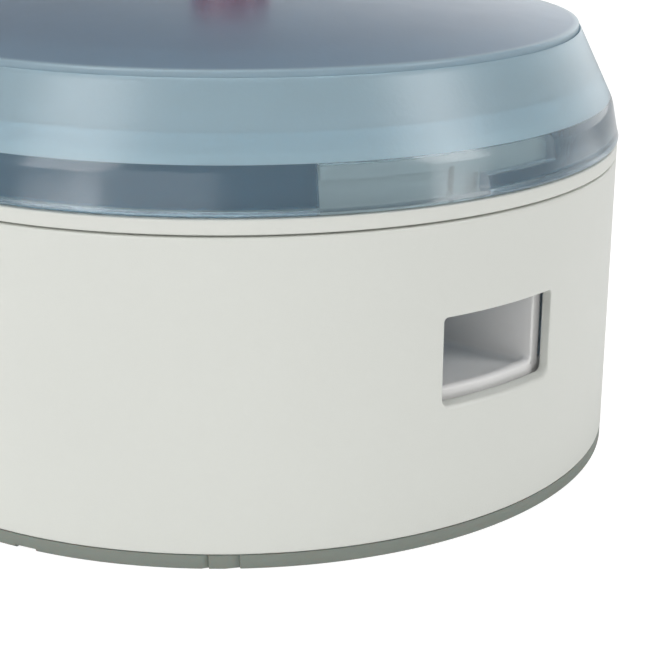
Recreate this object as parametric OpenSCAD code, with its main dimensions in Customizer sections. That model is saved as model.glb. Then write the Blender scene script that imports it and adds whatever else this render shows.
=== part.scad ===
// Push button treat dispenser. A round drum holds a turning tray of wedge compartments.
// Pushing the button drives a plunger, whose cross pin turns a slotted sleeve, and pawls
// on the sleeve carry the tray round until the next compartment stands at the window.
// Millimetres. z = 0 is the table, +Z is up and the window faces -Y.

/* [Housing] */
// Outer diameter of the drum
body_d = 190; // [186:1:198]
// Height of the rubber foot ring
foot_h = 3.4; // [3:0.1:4]
// Height of the drum's top edge above the table
shell_top = 72.3; // [71:0.1:76]
// Wall of the drum
shell_wall = 2.6; // [2.2:0.1:2.8]
// Shadow gap between the drum and the ring above it
shadow_gap = 0.5; // [0.3:0.1:0.8]
// Visible height of the ring above the shadow gap
ring_h = 3.2; // [2.8:0.1:4]

/* [Window] */
// Width of the dispensing window
window_w = 32.8; // [28:0.2:33]
// Lower edge of the window
window_z0 = 31.9; // [31.2:0.1:33]
// Upper edge of the window
window_z1 = 51.7; // [46:0.1:56]
// Corner radius of the window
window_r = 1.5; // [1.2:0.1:3]
// Softened edge round the window
window_edge = 0.8; // [0.4:0.1:1]

/* [Tray] */
// Number of compartments, a multiple of the three pawls
compartments = 18; // [18:3:18]
// Underside of the tray's floor above the table
tray_z = 31; // [30.8:0.1:31.2]
// Thickness of the tray's floor
tray_floor = 2.6; // [2.2:0.1:2.8]
// Height of the front lip above the floor
lip_h = 1.2; // [0.8:0.1:2]
// Width of the front lip
lip_w = 3.1; // [2.6:0.1:4]
// Gap between the tray and the drum
tray_gap = 1.1; // [0.8:0.1:1.4]
// Thickness of a compartment wall at the rim
wall_rim_t = 3.2; // [2.4:0.1:3.4]
// Thickness of a compartment wall at the hub
wall_hub_t = 1.8; // [1.4:0.1:2]

/* [Lid] */
// Height of the lid's edge band, up to its first crease
band_h = 8.7; // [8:0.1:10]
// Inward lean of the edge band
band_lean = 1.8; // [1.4:0.1:2]
// Height of the cone between the two creases
cone_h = 17.2; // [16:0.1:19]
// Inward lean of the cone
cone_lean = 8.5; // [7.5:0.1:9]
// Rise of the dome above the rim bead
dome_rise = 7.7; // [7:0.1:9]
// Wall of the lid
lid_wall = 2.2; // [2:0.1:2.6]
// How far the lid turns to lock, in degrees
lid_turn = 19; // [17:0.5:19]

/* [Button] */
// Diameter of the push button
button_d = 20; // [19:0.2:24]
// Height of the button's dome above its straight side
button_dome = 3; // [2:0.5:4]
// How far the button goes down
push = 10; // [8:0.5:10]

/* [Hidden] */

$fn = 96;
fine_fn = 32;
cut = 1;                 // how far a cutter runs past a face
gap = 0.3;               // between pieces that move past each other
seat = 0.1;              // between fixed pieces that fit into each other
run = 0.06;              // radial clearance of a shaft in its bearing

// colours
shell_color = [0.83, 0.84, 0.82];
tray_color = [0.80, 0.80, 0.79];
rubber_color = [0.49, 0.53, 0.52];
lid_color = [0.55, 0.66, 0.74, 0.55];
red_color = [0.72, 0.10, 0.13];
white_color = [0.90, 0.90, 0.88];
steel_color = [0.72, 0.73, 0.75];
seal_color = [0.80, 0.84, 0.86];

// housing
body_r = body_d / 2;
shell_in_r = body_r - shell_wall;
foot_w = 5.5;
foot_in_r = body_r - foot_w;
foot_edge = 0.8;
foot_rib_inset = 5;
foot_rib_r = body_r - foot_rib_inset;
foot_rib_w = 1;
foot_rib_h = 1.2;
notch_count = 3;
notch_angle = -66;
notch_w = 5.1;
notch_h = 0.7;
tab_angle = -39.1;
tab_span = 4;
tab_seam = 0.3;
tab_depth = 0.6;
floor_t = 2.4;
floor_top = foot_h + floor_t;
floor_low = 1.6;
rib_count = 12;
rib_t = 1.6;
rib_in_r = 18;
skirt_t = 1.8;
skirt_r = foot_in_r - gap;
boss_count = 6;
boss_angle = 30;
boss_inset = 13;
boss_pitch_r = body_r - boss_inset;
boss_r = 4;
boss_web = 3;
screw_r = 1.5;
screw_head_r = 2.8;
screw_head_h = 1.6;
screw_len = 11;
driver_w = 0.6;             // slot of a screw head
driver_reach = 0.6;         // share of the head that the slot spans
pad_r = 4.6;
pad_pilot = 1.3;
shell_edge = 0.5;

// ring and collar
ring_z = shell_top + shadow_gap;
ring_top = ring_z + ring_h;
shadow_depth = 1.4;
spigot_h = 3.3;
spigot_t = 2.6;
spigot_r = shell_in_r - seat;
snap_depth = 0.4;
snap_h = 1;
snap_drop = 2.2;
snap_z = shell_top - snap_drop;
collar_t = 2;

// lid outline
lid_z = ring_top + gap;
lid_foot_r = body_r + 0.2;
lid_edge = 0.7;
crease_r = lid_foot_r - band_lean;
crease_z = lid_z + band_h;
cone_r = crease_r - cone_lean;
cone_z = crease_z + cone_h;
step_inset = 0.5;
step_r = cone_r - step_inset;          // upright step round the dome
step_h = 1.4;
step_top = cone_z + step_h;
step_groove = 0.25;
step_edge = 0.5;
dome_r = step_r - step_edge;
dome_top = step_top + dome_rise;
dome_curve = (pow(dome_r, 2) + pow(dome_rise, 2)) / (2 * dome_rise);
dome_steps = 10;
round_from = 20;                       // degrees at which a round leaves a flat face
round_to = 80;                         // degrees at which it meets the next one
edge_steps = 4;
in_cone = lid_wall / cos(atan(cone_lean / cone_h));   // wall of the cone, level

// twist lock
lock_wall = 1.6;                       // lid wall left behind a channel
lock_rise = 0.7;
lock_top = crease_z + lock_rise;       // top of the channels
lug_h = 5;
lug_head = 0.2;
lug_z = lock_top - lug_h - lug_head;
lug_reach = 1.5;
lug_r = lid_outer_r(lock_top) - lock_wall - gap;
collar_r = lug_r - lug_reach;
collar_in_r = collar_r - collar_t;
collar_top = lug_z + lug_h;
thick_r = collar_r + gap;              // inside of the lid's edge band
lock_count = 3;
lug_from = -26.6;
lug_to = -8.5;
lug_play = 0.4;
entry_from = lug_from - lug_play;
entry_to = -2.8;
entry_draft = 0.1;
leg_to = lug_to + lid_turn + lug_play;
leg_z = lug_z - gap;
leg_top = lock_top + seat;
leg_corner = 1.6;                      // round of the leg's far end
slit_from = -8;
slit_to = -7;
slit_rise = 1.8;
slit_top = lug_z + slit_rise;
pocket_from = -5.1;
pocket_to = -2.9;
pocket_h = 3.2;
pocket_depth = 0.9;

// seal between the collar's top and the lid's cone
seal_h = 1.8;
seal_z = collar_top + gap;
seal_in_r = collar_in_r + seat;
seal_out_r = lid_outer_r(seal_z + seal_h) - in_cone - seat;
seal_groove = 0.5;
plug_r = seal_in_r - run;
plug_t = 1.2;
plug_lap = 0.4;
plug_z = seal_z + plug_lap;

// tray
tray_r = shell_in_r - tray_gap;
tray_top = tray_z + tray_floor;
pitch = 360 / compartments;
wall_room = 0.5;            // from the walls to the ring above them
wall_top = shell_top - spigot_h - wall_room;
hub_r = 24;
hub_in_r = 21;
hub_top = 63;
wall_root = 0.5;           // how far a compartment wall runs into the hub
lip_edge = 0.8;

// deck
deck_t = 2;
deck_drop = 5;
deck_z = tray_z - deck_drop;
deck_top = deck_z + deck_t;
deck_r = shell_in_r - gap;
deck_hole_r = 16;
ridge_r = boss_pitch_r - 3 * boss_r;
ridge_w = 2;
stiffener_h = 3;
stiffener_r = 34;

// detent
detent_r = 47;
detent_w = 6;
detent_rib_h = 1.6;
detent_drop = 2;
detent_z = tray_z - detent_drop;
detent_nose = 1.7;
detent_t = 0.5;
detent_arm = 26;
detent_pad = 9;
detent_boss_h = 4;
detent_pocket = detent_nose + gap;

// spindle, sleeve and plunger
spindle_r = 8;
rod_r = 6;
spindle_bore = rod_r + run;
flange_r = 15;
flange_t = 2.5;
flange_top = floor_top + flange_t;
spindle_top = 65.5;
spindle_screw_pitch = 11.5;
spindle_screw_count = 3;
pin_r = 1.5;
pin_rest_z = 52;
slot_play = 0.15;
slot_end = 0.2;
bush_r = 12;
bush_head_r = 14;
bush_head_h = 2;
bush_foot = 1.5;
bush_top = tray_top + bush_head_h;
bush_low = tray_z - bush_foot;
sleeve_in_r = spindle_r + run;
sleeve_r = 11.5;
sleeve_z = bush_top + gap;
sleeve_top = 58;
key_count = 4;
key_angle = 45;
key_w = 2;
key_h = 1;
helix_steps = 10;
helix_r = pin_r + slot_play;
clip_t = 1;
clip_z = sleeve_top + gap;
clip_groove = 0.7;
clip_r = 11;
clip_open = 70;
sleeve_foot = 1;
pawl_z = sleeve_z + sleeve_foot;
pawl_h = 4;
pawl_ring_r = 14;
pawl_count = 3;
pawl_t = 1.3;
pawl_span = 62;
pawl_steps = 12;
pawl_curl = 1.4;
ratchet_lap = 0.7;
ratchet_z = pawl_z - ratchet_lap;
ratchet_h = pawl_h + 2 * ratchet_lap;
ramp_steps = 4;
ratchet_wall = 1.4;
tooth_h = 1.8;
tooth_root_r = hub_in_r - ratchet_wall;
tooth_tip_r = tooth_root_r - tooth_h;
pawl_tip_r = tooth_root_r - gap;
pawl_lead = 1.1;                       // degrees between a pawl's end and its tooth
cover_t = 2.2;
cover_r = hub_r - wall_root - gap;
cover_skirt = 3;
cover_skirt_t = 1.2;
cover_bevel = 1;
cover_play = 0.5;
cover_hole_r = spindle_r + cover_play;

// button
button_r = button_d / 2;
cap_wall = 2;
guide_bore = button_r + run;
guide_wall = 1.8;
plunger_top = 80;
head_h = 4;
head_r = 9;
head_bevel = 1;
rod_low = 38;
stem_r = 4.5;
stem_bore = 3;
stem_low = plunger_top + gap;
shelf_t = 3;
cap_side_top = 124;
stem_inset = 12;            // from the top of the cap's side down to the stem
stem_top = cap_side_top - stem_inset;
stem_flange_r = button_r - cap_wall - seat;
stem_flange_t = 2;
plate_z = 84.6;
plate_t = 2.4;
plate_rim = 3;
plate_r = guide_bore + guide_wall + plate_rim;
sleeve_room = 3;            // from the guide sleeve to the pressed stem
sleeve_h = stem_top - stem_flange_t - push - sleeve_room - plate_z;
sleeve_wall = 1.2;
ear_reach = 5;
ear_pitch = plate_r + ear_reach;
ear_r = 4.5;
ear_count = 3;
ear_angle = 90;
lid_boss_r = 3.5;
guide_low = plate_z + plate_t + seat;
cap_room = 1;
cap_low = plate_z + plate_t + push + cap_room;
cap_boss_r = 4;
cap_edge = 2.4;
cap_steps = 10;
cap_curve = (pow(button_r, 2) + pow(button_dome, 2)) / (2 * button_dome);
eclip_t = 1.4;
eclip_z = plate_z - gap - eclip_t;
eclip_r = 7;
eclip_groove = 0.7;

// springs
curl_rings = 8;
wire_sides = 6;
return_wire = 0.5;
return_r = 4.9;
return_curls = 9;
return_low = flange_top + seat;
return_top = rod_low - gap;
button_wire = 0.5;
button_spring_r = 6.8;
button_curls = 5;
button_spring_low = plate_z + plate_t;
button_spring_top = stem_top;

// smallest gap between neighbouring curls
echo(return_spring_gap = curl_gap(return_low, return_top, return_curls, return_wire));
echo(button_spring_gap = curl_gap(button_spring_low, button_spring_top, button_curls, button_wire));

// radius of the lid's outside at height z, up to the rim bead
function lid_outer_r(z) =
    z < crease_z
        ? lid_foot_r - band_lean * (z - lid_z) / band_h
        : crease_r - cone_lean * (z - crease_z) / cone_h;

// points along an arc from one angle to another
function arc_points(x, z, r, from, to, steps) = [
    for (i = [0 : steps]) let (a = from + (to - from) * i / steps) [x + r * cos(a), z + r * sin(a)]
];

// height of the dome's outside at radius r
function dome_height(r) = dome_top - dome_curve + sqrt(pow(dome_curve, 2) - pow(r, 2));

// points along the dome, on a sphere of the given radius about the dome's centre
function dome_points(curve, from_r, to_r) =
    arc_points(0, dome_top - dome_curve, curve, acos(from_r / curve), acos(to_r / curve), dome_steps);

// clear space between two curls of a coil
function curl_gap(low, top, curls, wire) = (top - low - 2 * wire) / curls - 2 * wire;

// point of a coil's wire: ring i of all, side j round the wire
function coil_point(i, j, radius, wire, low, rise) =
    let (turn = 360 * i / curl_rings)
    let (side = 360 * j / wire_sides)
    let (r = radius + wire * cos(side))
    [r * cos(turn), r * sin(turn), low + rise * i + wire * sin(side)];

// -------------------------------------------------- shared forms

module ring_of(count, first = 0) {
    for (i = [0 : count - 1]) rotate([0, 0, first + 360 * i / count]) children();
}

module tube(r_out, r_in, h) {
    difference() {
        cylinder(r = r_out, h = h);
        translate([0, 0, -cut]) cylinder(r = r_in, h = h + 2 * cut);
    }
}

// part of a ring between two angles, counted from the window towards +X
module arc_band(r_in, r_out, z0, z1, from, to) {
    rotate([0, 0, from - 90])
        rotate_extrude(angle = to - from)
            polygon([[r_in, z0], [r_out, z0], [r_out, z1], [r_in, z1]]);
}

module coil(radius, wire, low, top, curls) {
    rings = curls * curl_rings;
    rise = (top - low - 2 * wire) / rings;
    points = [
        for (i = [0 : rings]) for (j = [0 : wire_sides - 1])
            coil_point(i, j, radius, wire, low + wire, rise)
    ];
    sides = [
        for (i = [0 : rings - 1]) for (j = [0 : wire_sides - 1])
            let (k = (j + 1) % wire_sides)
            let (a = i * wire_sides)
            let (b = a + wire_sides)
            [a + j, b + j, b + k, a + k]
    ];
    first = [for (j = [0 : wire_sides - 1]) j];
    last = [for (j = [wire_sides - 1 : -1 : 0]) rings * wire_sides + j];
    polyhedron(points, concat(sides, [first, last]));
}

// pan head screw along +Z with its head's underside at z = 0 and its shank above
module screw(len, r = screw_r, head_r = screw_head_r, head_h = screw_head_h) {
    difference() {
        union() {
            cylinder(r = r, h = len, $fn = fine_fn);
            translate([0, 0, -head_h]) cylinder(r = head_r, h = head_h, $fn = fine_fn);
        }
        translate([0, 0, -head_h - cut]) {
            for (turn = [0, 90]) rotate([0, 0, turn])
                translate([-head_r * driver_reach, -driver_w / 2, 0])
                    cube([2 * head_r * driver_reach, driver_w, cut + head_h / 2]);
        }
    }
}

// -------------------------------------------------- housing

module foot_ring() {
    color(rubber_color) difference() {
        union() {
            rotate_extrude() polygon([
                [foot_in_r, 0],
                [body_r - foot_edge, 0],
                [body_r, foot_edge],
                [body_r, foot_h],
                [foot_in_r, foot_h]
            ]);
            translate([0, 0, foot_h / 2])
                tube(foot_rib_r + foot_rib_w, foot_rib_r, foot_h / 2 + foot_rib_h);
        }
        ring_of(notch_count, notch_angle) translate([-notch_w / 2, -body_r - cut, -cut])
            cube([notch_w, foot_w + 2 * cut, notch_h + cut]);
        ring_of(notch_count, tab_angle) for (side = [-1, 1]) rotate([0, 0, side * tab_span / 2])
            translate([-tab_seam / 2, -body_r - cut, -cut])
                cube([tab_seam, tab_depth + cut, foot_h + 2 * cut]);
    }
}

module base_plate() {
    color(shell_color) difference() {
        union() {
            translate([0, 0, foot_h]) cylinder(r = shell_in_r - gap, h = floor_t);
            translate([0, 0, floor_low]) {
                tube(skirt_r, skirt_r - skirt_t, floor_top - floor_low - cut);
                tube(rib_in_r + rib_t, rib_in_r, floor_top - floor_low - cut);
            }
            ring_of(rib_count) translate([rib_in_r + rib_t / 2, -rib_t / 2, floor_low])
                cube([skirt_r - skirt_t - rib_in_r, rib_t, floor_top - floor_low - cut]);
            ring_of(boss_count, boss_angle) translate([0, -boss_pitch_r, floor_low])
                cylinder(r = pad_r, h = floor_top - floor_low - cut);
        }
        translate([0, 0, foot_h - cut])
            tube(foot_rib_r + foot_rib_w + seat, foot_rib_r - seat, foot_rib_h + cut + seat);
        ring_of(boss_count, boss_angle) translate([0, -boss_pitch_r, 0]) {
            cylinder(r = screw_r + gap, h = floor_top + cut, $fn = fine_fn);
            cylinder(r = screw_head_r + gap, h = floor_low + screw_head_h, $fn = fine_fn);
        }
        ring_of(spindle_screw_count) translate([0, -spindle_screw_pitch, 0])
            cylinder(r = screw_r + gap, h = floor_top + cut, $fn = fine_fn);
    }
}

module window_outline(grow = 0) {
    w = window_w / 2 - window_r;
    low = window_z0 + window_r;
    high = window_z1 - window_r;
    for (x = [-w, w]) for (z = [low, high]) translate([x, z])
        circle(r = window_r + grow, $fn = fine_fn);
    translate([-w - window_r - grow, low]) square([2 * (w + window_r + grow), high - low]);
    translate([-w, low - window_r - grow]) square([2 * w, high - low + 2 * (window_r + grow)]);
}

// window cutter with softened outer edges that follow the drum
module window_cutter() {
    w = window_w / 2 - window_r;
    half_angle = asin(w / body_r);
    edge = window_edge;
    corner_y = sqrt(pow(body_r, 2) - pow(window_w / 2, 2));
    rotate([90, 0, 0]) linear_extrude(body_r + cut) window_outline();
    for (side = [-1, 1]) {
        z = side < 0 ? window_z0 : window_z1;
        rotate([0, 0, -90 - half_angle]) rotate_extrude(angle = 2 * half_angle) polygon([
            [body_r - edge, z],
            [body_r + edge, z + side * 2 * edge],
            [body_r + edge, z - side * cut],
            [body_r - edge, z - side * cut]
        ]);
        translate([side * window_w / 2, 0, window_z0 + window_r])
            linear_extrude(window_z1 - window_z0 - 2 * window_r) polygon([
                [0, -corner_y + edge],
                [side * 2 * edge, -corner_y - edge],
                [-side * cut, -corner_y - edge],
                [-side * cut, -corner_y + edge]
            ]);
        for (zc = [window_z0 + window_r, window_z1 - window_r])
            translate([side * w, -corner_y + edge, zc]) rotate([90, 0, 0])
                cylinder(r1 = window_r, r2 = window_r + 2 * edge, h = 2 * edge, $fn = fine_fn);
    }
}

module outer_shell() {
    color(shell_color) difference() {
        union() {
            rotate_extrude() polygon([
                [shell_in_r, foot_h],
                [body_r - shell_edge, foot_h],
                [body_r, foot_h + shell_edge],
                [body_r, shell_top - shell_edge],
                [body_r - shell_edge, shell_top],
                [shell_in_r, shell_top]
            ]);
            ring_of(boss_count, boss_angle) {
                translate([0, -boss_pitch_r, floor_top]) cylinder(r = boss_r, h = deck_z - floor_top);
                translate([-boss_web / 2, -body_r + shell_wall / 2, floor_top])
                    cube([boss_web, body_r - shell_wall / 2 - boss_pitch_r, deck_z - floor_top]);
            }
        }
        window_cutter();
        translate([0, 0, snap_z - snap_h]) cylinder(r = shell_in_r + snap_depth + seat, h = 2 * snap_h);
        ring_of(boss_count, boss_angle) translate([0, -boss_pitch_r, floor_top - cut])
            cylinder(r = pad_pilot + seat * 2, h = deck_z, $fn = fine_fn);
    }
}

module top_ring() {
    color(shell_color) difference() {
        union() {
            rotate_extrude() polygon([
                [collar_in_r, shell_top],
                [spigot_r - spigot_t, shell_top],
                [spigot_r - spigot_t, shell_top - spigot_h],
                [spigot_r - seat, shell_top - spigot_h],
                [spigot_r, snap_z - snap_h],
                [spigot_r + snap_depth, snap_z],
                [spigot_r, snap_z + snap_h],
                [spigot_r, shell_top],
                [body_r - shadow_depth, shell_top],
                [body_r - shadow_depth, ring_z],
                [body_r - shell_edge / 2, ring_z],
                [body_r, ring_z + shell_edge / 2],
                [body_r, ring_top - shell_edge],
                [body_r - shell_edge, ring_top],
                [collar_r, ring_top],
                [collar_r, collar_top - shell_edge],
                [collar_r - shell_edge, collar_top],
                [collar_in_r, collar_top]
            ]);
            ring_of(lock_count)
                arc_band(collar_r - collar_t / 2, lug_r, lug_z, collar_top, lug_from, lug_to);
        }
        ring_of(lock_count) {
            arc_band(collar_in_r - cut, body_r, ring_top + cut, slit_top, slit_from, slit_to);
            arc_band(collar_r - pocket_depth, body_r, ring_top + cut, ring_top + cut + pocket_h,
                pocket_from, pocket_to);
        }
    }
}

module deck_plate() {
    color(tray_color) difference() {
        union() {
            translate([0, 0, deck_z]) cylinder(r = deck_r, h = deck_t);
            translate([0, 0, deck_z]) tube(ridge_r + ridge_w / 2, ridge_r - ridge_w / 2, tray_z - deck_z);
            translate([0, 0, deck_z - stiffener_h])
                tube(stiffener_r + rib_t, stiffener_r, stiffener_h + deck_t / 2);
            ring_of(boss_count) translate([stiffener_r, -rib_t / 2, deck_z - stiffener_h])
                cube([boss_pitch_r - 2 * boss_r - stiffener_r, rib_t, stiffener_h + deck_t / 2]);
            detent_place() translate([-detent_arm, 0, deck_z - detent_boss_h])
                cylinder(r = boss_r, h = detent_boss_h + deck_t / 2);
        }
        translate([0, 0, deck_z - cut]) cylinder(r = deck_hole_r, h = deck_t + 2 * cut);
        ring_of(boss_count, boss_angle) translate([0, -boss_pitch_r, deck_z - cut])
            cylinder(r = screw_r + gap, h = deck_t + 2 * cut, $fn = fine_fn);
        detent_place() translate([-detent_arm, 0, deck_z - detent_boss_h - cut])
            cylinder(r = pad_pilot, h = deck_t + detent_boss_h + 2 * cut, $fn = fine_fn);
    }
}

module base_screws() {
    color(steel_color) ring_of(boss_count, boss_angle)
        translate([0, -boss_pitch_r, floor_low + screw_head_h]) screw(screw_len, pad_pilot);
}

module deck_screws() {
    color(steel_color) ring_of(boss_count, boss_angle)
        translate([0, -boss_pitch_r, deck_top]) rotate([180, 0, 0]) screw(screw_len / 2, pad_pilot);
}

// -------------------------------------------------- detent

// the detent works on the side away from the window
module detent_place() {
    translate([0, detent_r, 0]) children();
}

module detent_spring() {
    arm_low = detent_z - detent_t;
    color(steel_color) detent_place() difference() {
        rotate([90, 0, 0]) translate([0, 0, -detent_w / 2]) linear_extrude(detent_w) {
            polygon([
                [-detent_arm - detent_pad / 2, deck_top],
                [-detent_arm + detent_pad / 2, deck_top],
                [detent_nose, arm_low],
                [detent_nose, arm_low + detent_t],
                [-detent_arm + detent_pad / 2, deck_top + detent_t],
                [-detent_arm - detent_pad / 2, deck_top + detent_t]
            ]);
            translate([0, arm_low + detent_t]) intersection() {
                circle(r = detent_nose, $fn = fine_fn);
                translate([-detent_nose, -detent_t / 2]) square([2 * detent_nose, 2 * detent_nose]);
            }
        }
        translate([-detent_arm, 0, deck_top - cut])
            cylinder(r = screw_r, h = detent_t + 2 * cut, $fn = fine_fn);
    }
}

module detent_screw() {
    color(steel_color) detent_place() translate([-detent_arm, 0, deck_top + detent_t])
        rotate([180, 0, 0]) screw(stiffener_h + deck_t, pad_pilot, screw_head_r, screw_head_h);
}

// -------------------------------------------------- spindle

module spindle() {
    slot_low = pin_rest_z - push - pin_r - slot_end;
    slot_h = push + 2 * (pin_r + slot_end);
    color(white_color) difference() {
        union() {
            translate([0, 0, floor_top]) cylinder(r = flange_r, h = flange_t);
            translate([0, 0, floor_top]) cylinder(r = spindle_r, h = spindle_top - floor_top);
        }
        translate([0, 0, flange_top]) cylinder(r = spindle_bore, h = spindle_top);
        translate([-spindle_r - cut, -pin_r - run, slot_low])
            cube([2 * (spindle_r + cut), 2 * (pin_r + run), slot_h]);
        translate([0, 0, clip_z - seat])
            tube(spindle_r + cut, spindle_r - clip_groove, clip_t + 2 * seat);
        ring_of(spindle_screw_count) translate([0, -spindle_screw_pitch, floor_top - cut])
            cylinder(r = pad_pilot, h = flange_t + 2 * cut, $fn = fine_fn);
    }
}

module spindle_screws() {
    color(steel_color) ring_of(spindle_screw_count)
        translate([0, -spindle_screw_pitch, foot_h]) screw(floor_t + flange_t, pad_pilot);
}

// open retaining ring in a groove
module retainer(r_out, r_in, t) {
    difference() {
        tube(r_out, r_in, t);
        translate([0, 0, -cut]) linear_extrude(t + 2 * cut) polygon([
            [0, 0],
            [r_out * 2, -r_out * 2 * tan(clip_open / 2)],
            [r_out * 2, r_out * 2 * tan(clip_open / 2)]
        ]);
    }
}

module sleeve_clip() {
    color(steel_color) translate([0, 0, clip_z])
        retainer(clip_r, spindle_r - clip_groove + seat, clip_t);
}

module return_spring() {
    color(steel_color) coil(return_r, return_wire, return_low, return_top, return_curls);
}

// -------------------------------------------------- tray

module tray_wall() {
    linear_extrude(wall_top - tray_z - tray_floor / 2) polygon([
        [-wall_hub_t / 2, -hub_r + wall_root],
        [wall_hub_t / 2, -hub_r + wall_root],
        [wall_rim_t / 2, -tray_r - cut],
        [-wall_rim_t / 2, -tray_r - cut]
    ]);
}

module carousel() {
    color(tray_color) difference() {
        union() {
            rotate_extrude() polygon([
                [bush_r, tray_z],
                [tray_r, tray_z],
                [tray_r, tray_top + lip_h - lip_edge],
                [tray_r - lip_edge, tray_top + lip_h],
                [tray_r - lip_w + lip_h, tray_top + lip_h],
                [tray_r - lip_w, tray_top],
                [hub_r, tray_top],
                [hub_r, hub_top],
                [hub_in_r, hub_top],
                [hub_in_r, tray_top],
                [bush_r, tray_top]
            ]);
            translate([0, 0, tray_z - detent_rib_h])
                tube(detent_r + detent_w / 2, detent_r - detent_w / 2, detent_rib_h + cut);
            intersection() {
                translate([0, 0, tray_z + tray_floor / 2]) ring_of(compartments, pitch / 2) tray_wall();
                translate([0, 0, tray_z]) tube(tray_r, hub_in_r + cut, wall_top - tray_z);
            }
        }
        ring_of(compartments) translate([0, detent_r + detent_w / 2 + cut, detent_z])
            rotate([90, 0, 0]) cylinder(r = detent_pocket, h = detent_w + 2 * cut, $fn = fine_fn);
    }
}

module carousel_bush() {
    color(white_color) difference() {
        union() {
            translate([0, 0, bush_low]) cylinder(r = bush_r, h = bush_top - bush_low);
            translate([0, 0, tray_top]) cylinder(r = bush_head_r, h = bush_top - tray_top);
        }
        translate([0, 0, bush_low - cut])
            cylinder(r = spindle_r + run, h = bush_top - bush_low + 2 * cut);
    }
}

// ramps that rise to a square tooth face, one tooth for each compartment
module ratchet_ring() {
    color(white_color) translate([0, 0, ratchet_z]) difference() {
        cylinder(r = hub_in_r, h = ratchet_h);
        translate([0, 0, -cut]) linear_extrude(ratchet_h + 2 * cut) polygon([
            for (i = [0 : compartments - 1]) for (s = [0 : ramp_steps])
                let (turn = pitch * (i + s / ramp_steps))
                let (r = tooth_tip_r + (tooth_root_r - tooth_tip_r) * s / ramp_steps)
                [r * cos(turn), r * sin(turn)]
        ]);
    }
}

module hub_cover() {
    color(tray_color) difference() {
        union() {
            translate([0, 0, hub_top]) cylinder(r1 = cover_r, r2 = cover_r - cover_bevel, h = cover_t);
            translate([0, 0, hub_top - cover_skirt])
                tube(hub_in_r - seat, hub_in_r - seat - cover_skirt_t, cover_skirt + cover_t / 2);
        }
        translate([0, 0, hub_top - cut]) cylinder(r = cover_hole_r, h = cover_t + 2 * cut);
    }
}

// -------------------------------------------------- drive

module drive_sleeve() {
    color(white_color) difference() {
        union() {
            translate([0, 0, sleeve_z]) cylinder(r = sleeve_r, h = sleeve_top - sleeve_z);
            ring_of(key_count, key_angle) translate([-key_w / 2, -sleeve_r - key_h, sleeve_z])
                cube([key_w, key_h + cut, sleeve_foot + pawl_h]);
        }
        translate([0, 0, sleeve_z - cut])
            cylinder(r = sleeve_in_r, h = sleeve_top - sleeve_z + 2 * cut);
        for (i = [0 : helix_steps])
            let (down = push * i / helix_steps)
            translate([0, 0, pin_rest_z - down]) rotate([0, 0, -pitch * down / push])
                rotate([0, 90, 0])
                    cylinder(r = helix_r, h = 2 * (sleeve_r + cut), center = true, $fn = fine_fn);
    }
}

// outline of one pawl: a thin arm that leaves the ring and ends square against a tooth
module pawl_outline() {
    start = -pawl_span;
    root_r = pawl_ring_r - pawl_t / 2;
    tip_r = pawl_tip_r - pawl_t / 2;
    polygon([
        for (side = [-1, 1]) for (k = [0 : pawl_steps])
            let (t = side < 0 ? k / pawl_steps : 1 - k / pawl_steps)
            let (turn = start + (pawl_span - pawl_lead) * t)
            let (r = root_r + (tip_r - root_r) * pow(t, pawl_curl) + side * pawl_t / 2)
            [r * cos(turn), r * sin(turn)]
    ]);
}

module pawl_ring() {
    color(white_color) translate([0, 0, pawl_z]) {
        linear_extrude(pawl_h) difference() {
            circle(r = pawl_ring_r);
            circle(r = sleeve_r + seat);
            ring_of(key_count, key_angle) translate([-key_w / 2 - seat, -sleeve_r - key_h - seat])
                square([key_w + 2 * seat, 2 * key_h]);
        }
        ring_of(pawl_count) linear_extrude(pawl_h) pawl_outline();
    }
}

module plunger() {
    color(white_color) difference() {
        union() {
            translate([0, 0, rod_low]) cylinder(r = rod_r, h = plunger_top - rod_low - head_h / 2);
            translate([0, 0, plunger_top - head_h]) cylinder(r = head_r, h = head_h - head_bevel);
            translate([0, 0, plunger_top - head_bevel])
                cylinder(r1 = head_r, r2 = head_r - head_bevel, h = head_bevel);
        }
        translate([0, 0, pin_rest_z]) rotate([0, 90, 0])
            cylinder(r = pin_r, h = 3 * rod_r, center = true);
    }
}

module cross_pin() {
    color(steel_color) translate([0, 0, pin_rest_z]) rotate([0, 90, 0])
        cylinder(r = pin_r, h = 2 * (sleeve_r - gap), center = true);
}

// -------------------------------------------------- lid

// half section of the lid: wall, step, dome, guide tube, seal rib and thick edge band
module lid_section() {
    tube_r = guide_bore + guide_wall;
    in_curve = dome_curve - lid_wall;
    cone_fall = cone_h / cone_lean;
    in_top_z = cone_z - lid_wall / 2;
    in_top_r = lid_outer_r(in_top_z) - in_cone;
    polygon(concat(
        [[thick_r + lid_edge, lid_z]],
        arc_points(lid_foot_r - lid_edge, lid_z + lid_edge, lid_edge, -90, 0, edge_steps),
        [
            [crease_r, crease_z],
            [cone_r, cone_z],
            [step_r, cone_z - step_groove]
        ],
        arc_points(step_r - step_edge, step_top - step_edge, step_edge, 0, round_to, edge_steps),
        dome_points(dome_curve, dome_r, guide_bore + lid_edge),
        [
            [guide_bore, dome_height(guide_bore) - lid_edge],
            [guide_bore, guide_low],
            [tube_r, guide_low]
        ],
        dome_points(in_curve, tube_r, in_top_r - 1),
        [
            [in_top_r, in_top_z],
            [plug_r - plug_t, in_top_z + (in_top_r - plug_r + plug_t) * cone_fall],
            [plug_r - plug_t, plug_z],
            [plug_r, plug_z],
            [plug_r, in_top_z + (in_top_r - plug_r) * cone_fall],
            [lid_outer_r(lock_top) - in_cone, lock_top],
            [thick_r, lock_top],
            [thick_r, lid_z + lid_edge]
        ]
    ));
}

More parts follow.
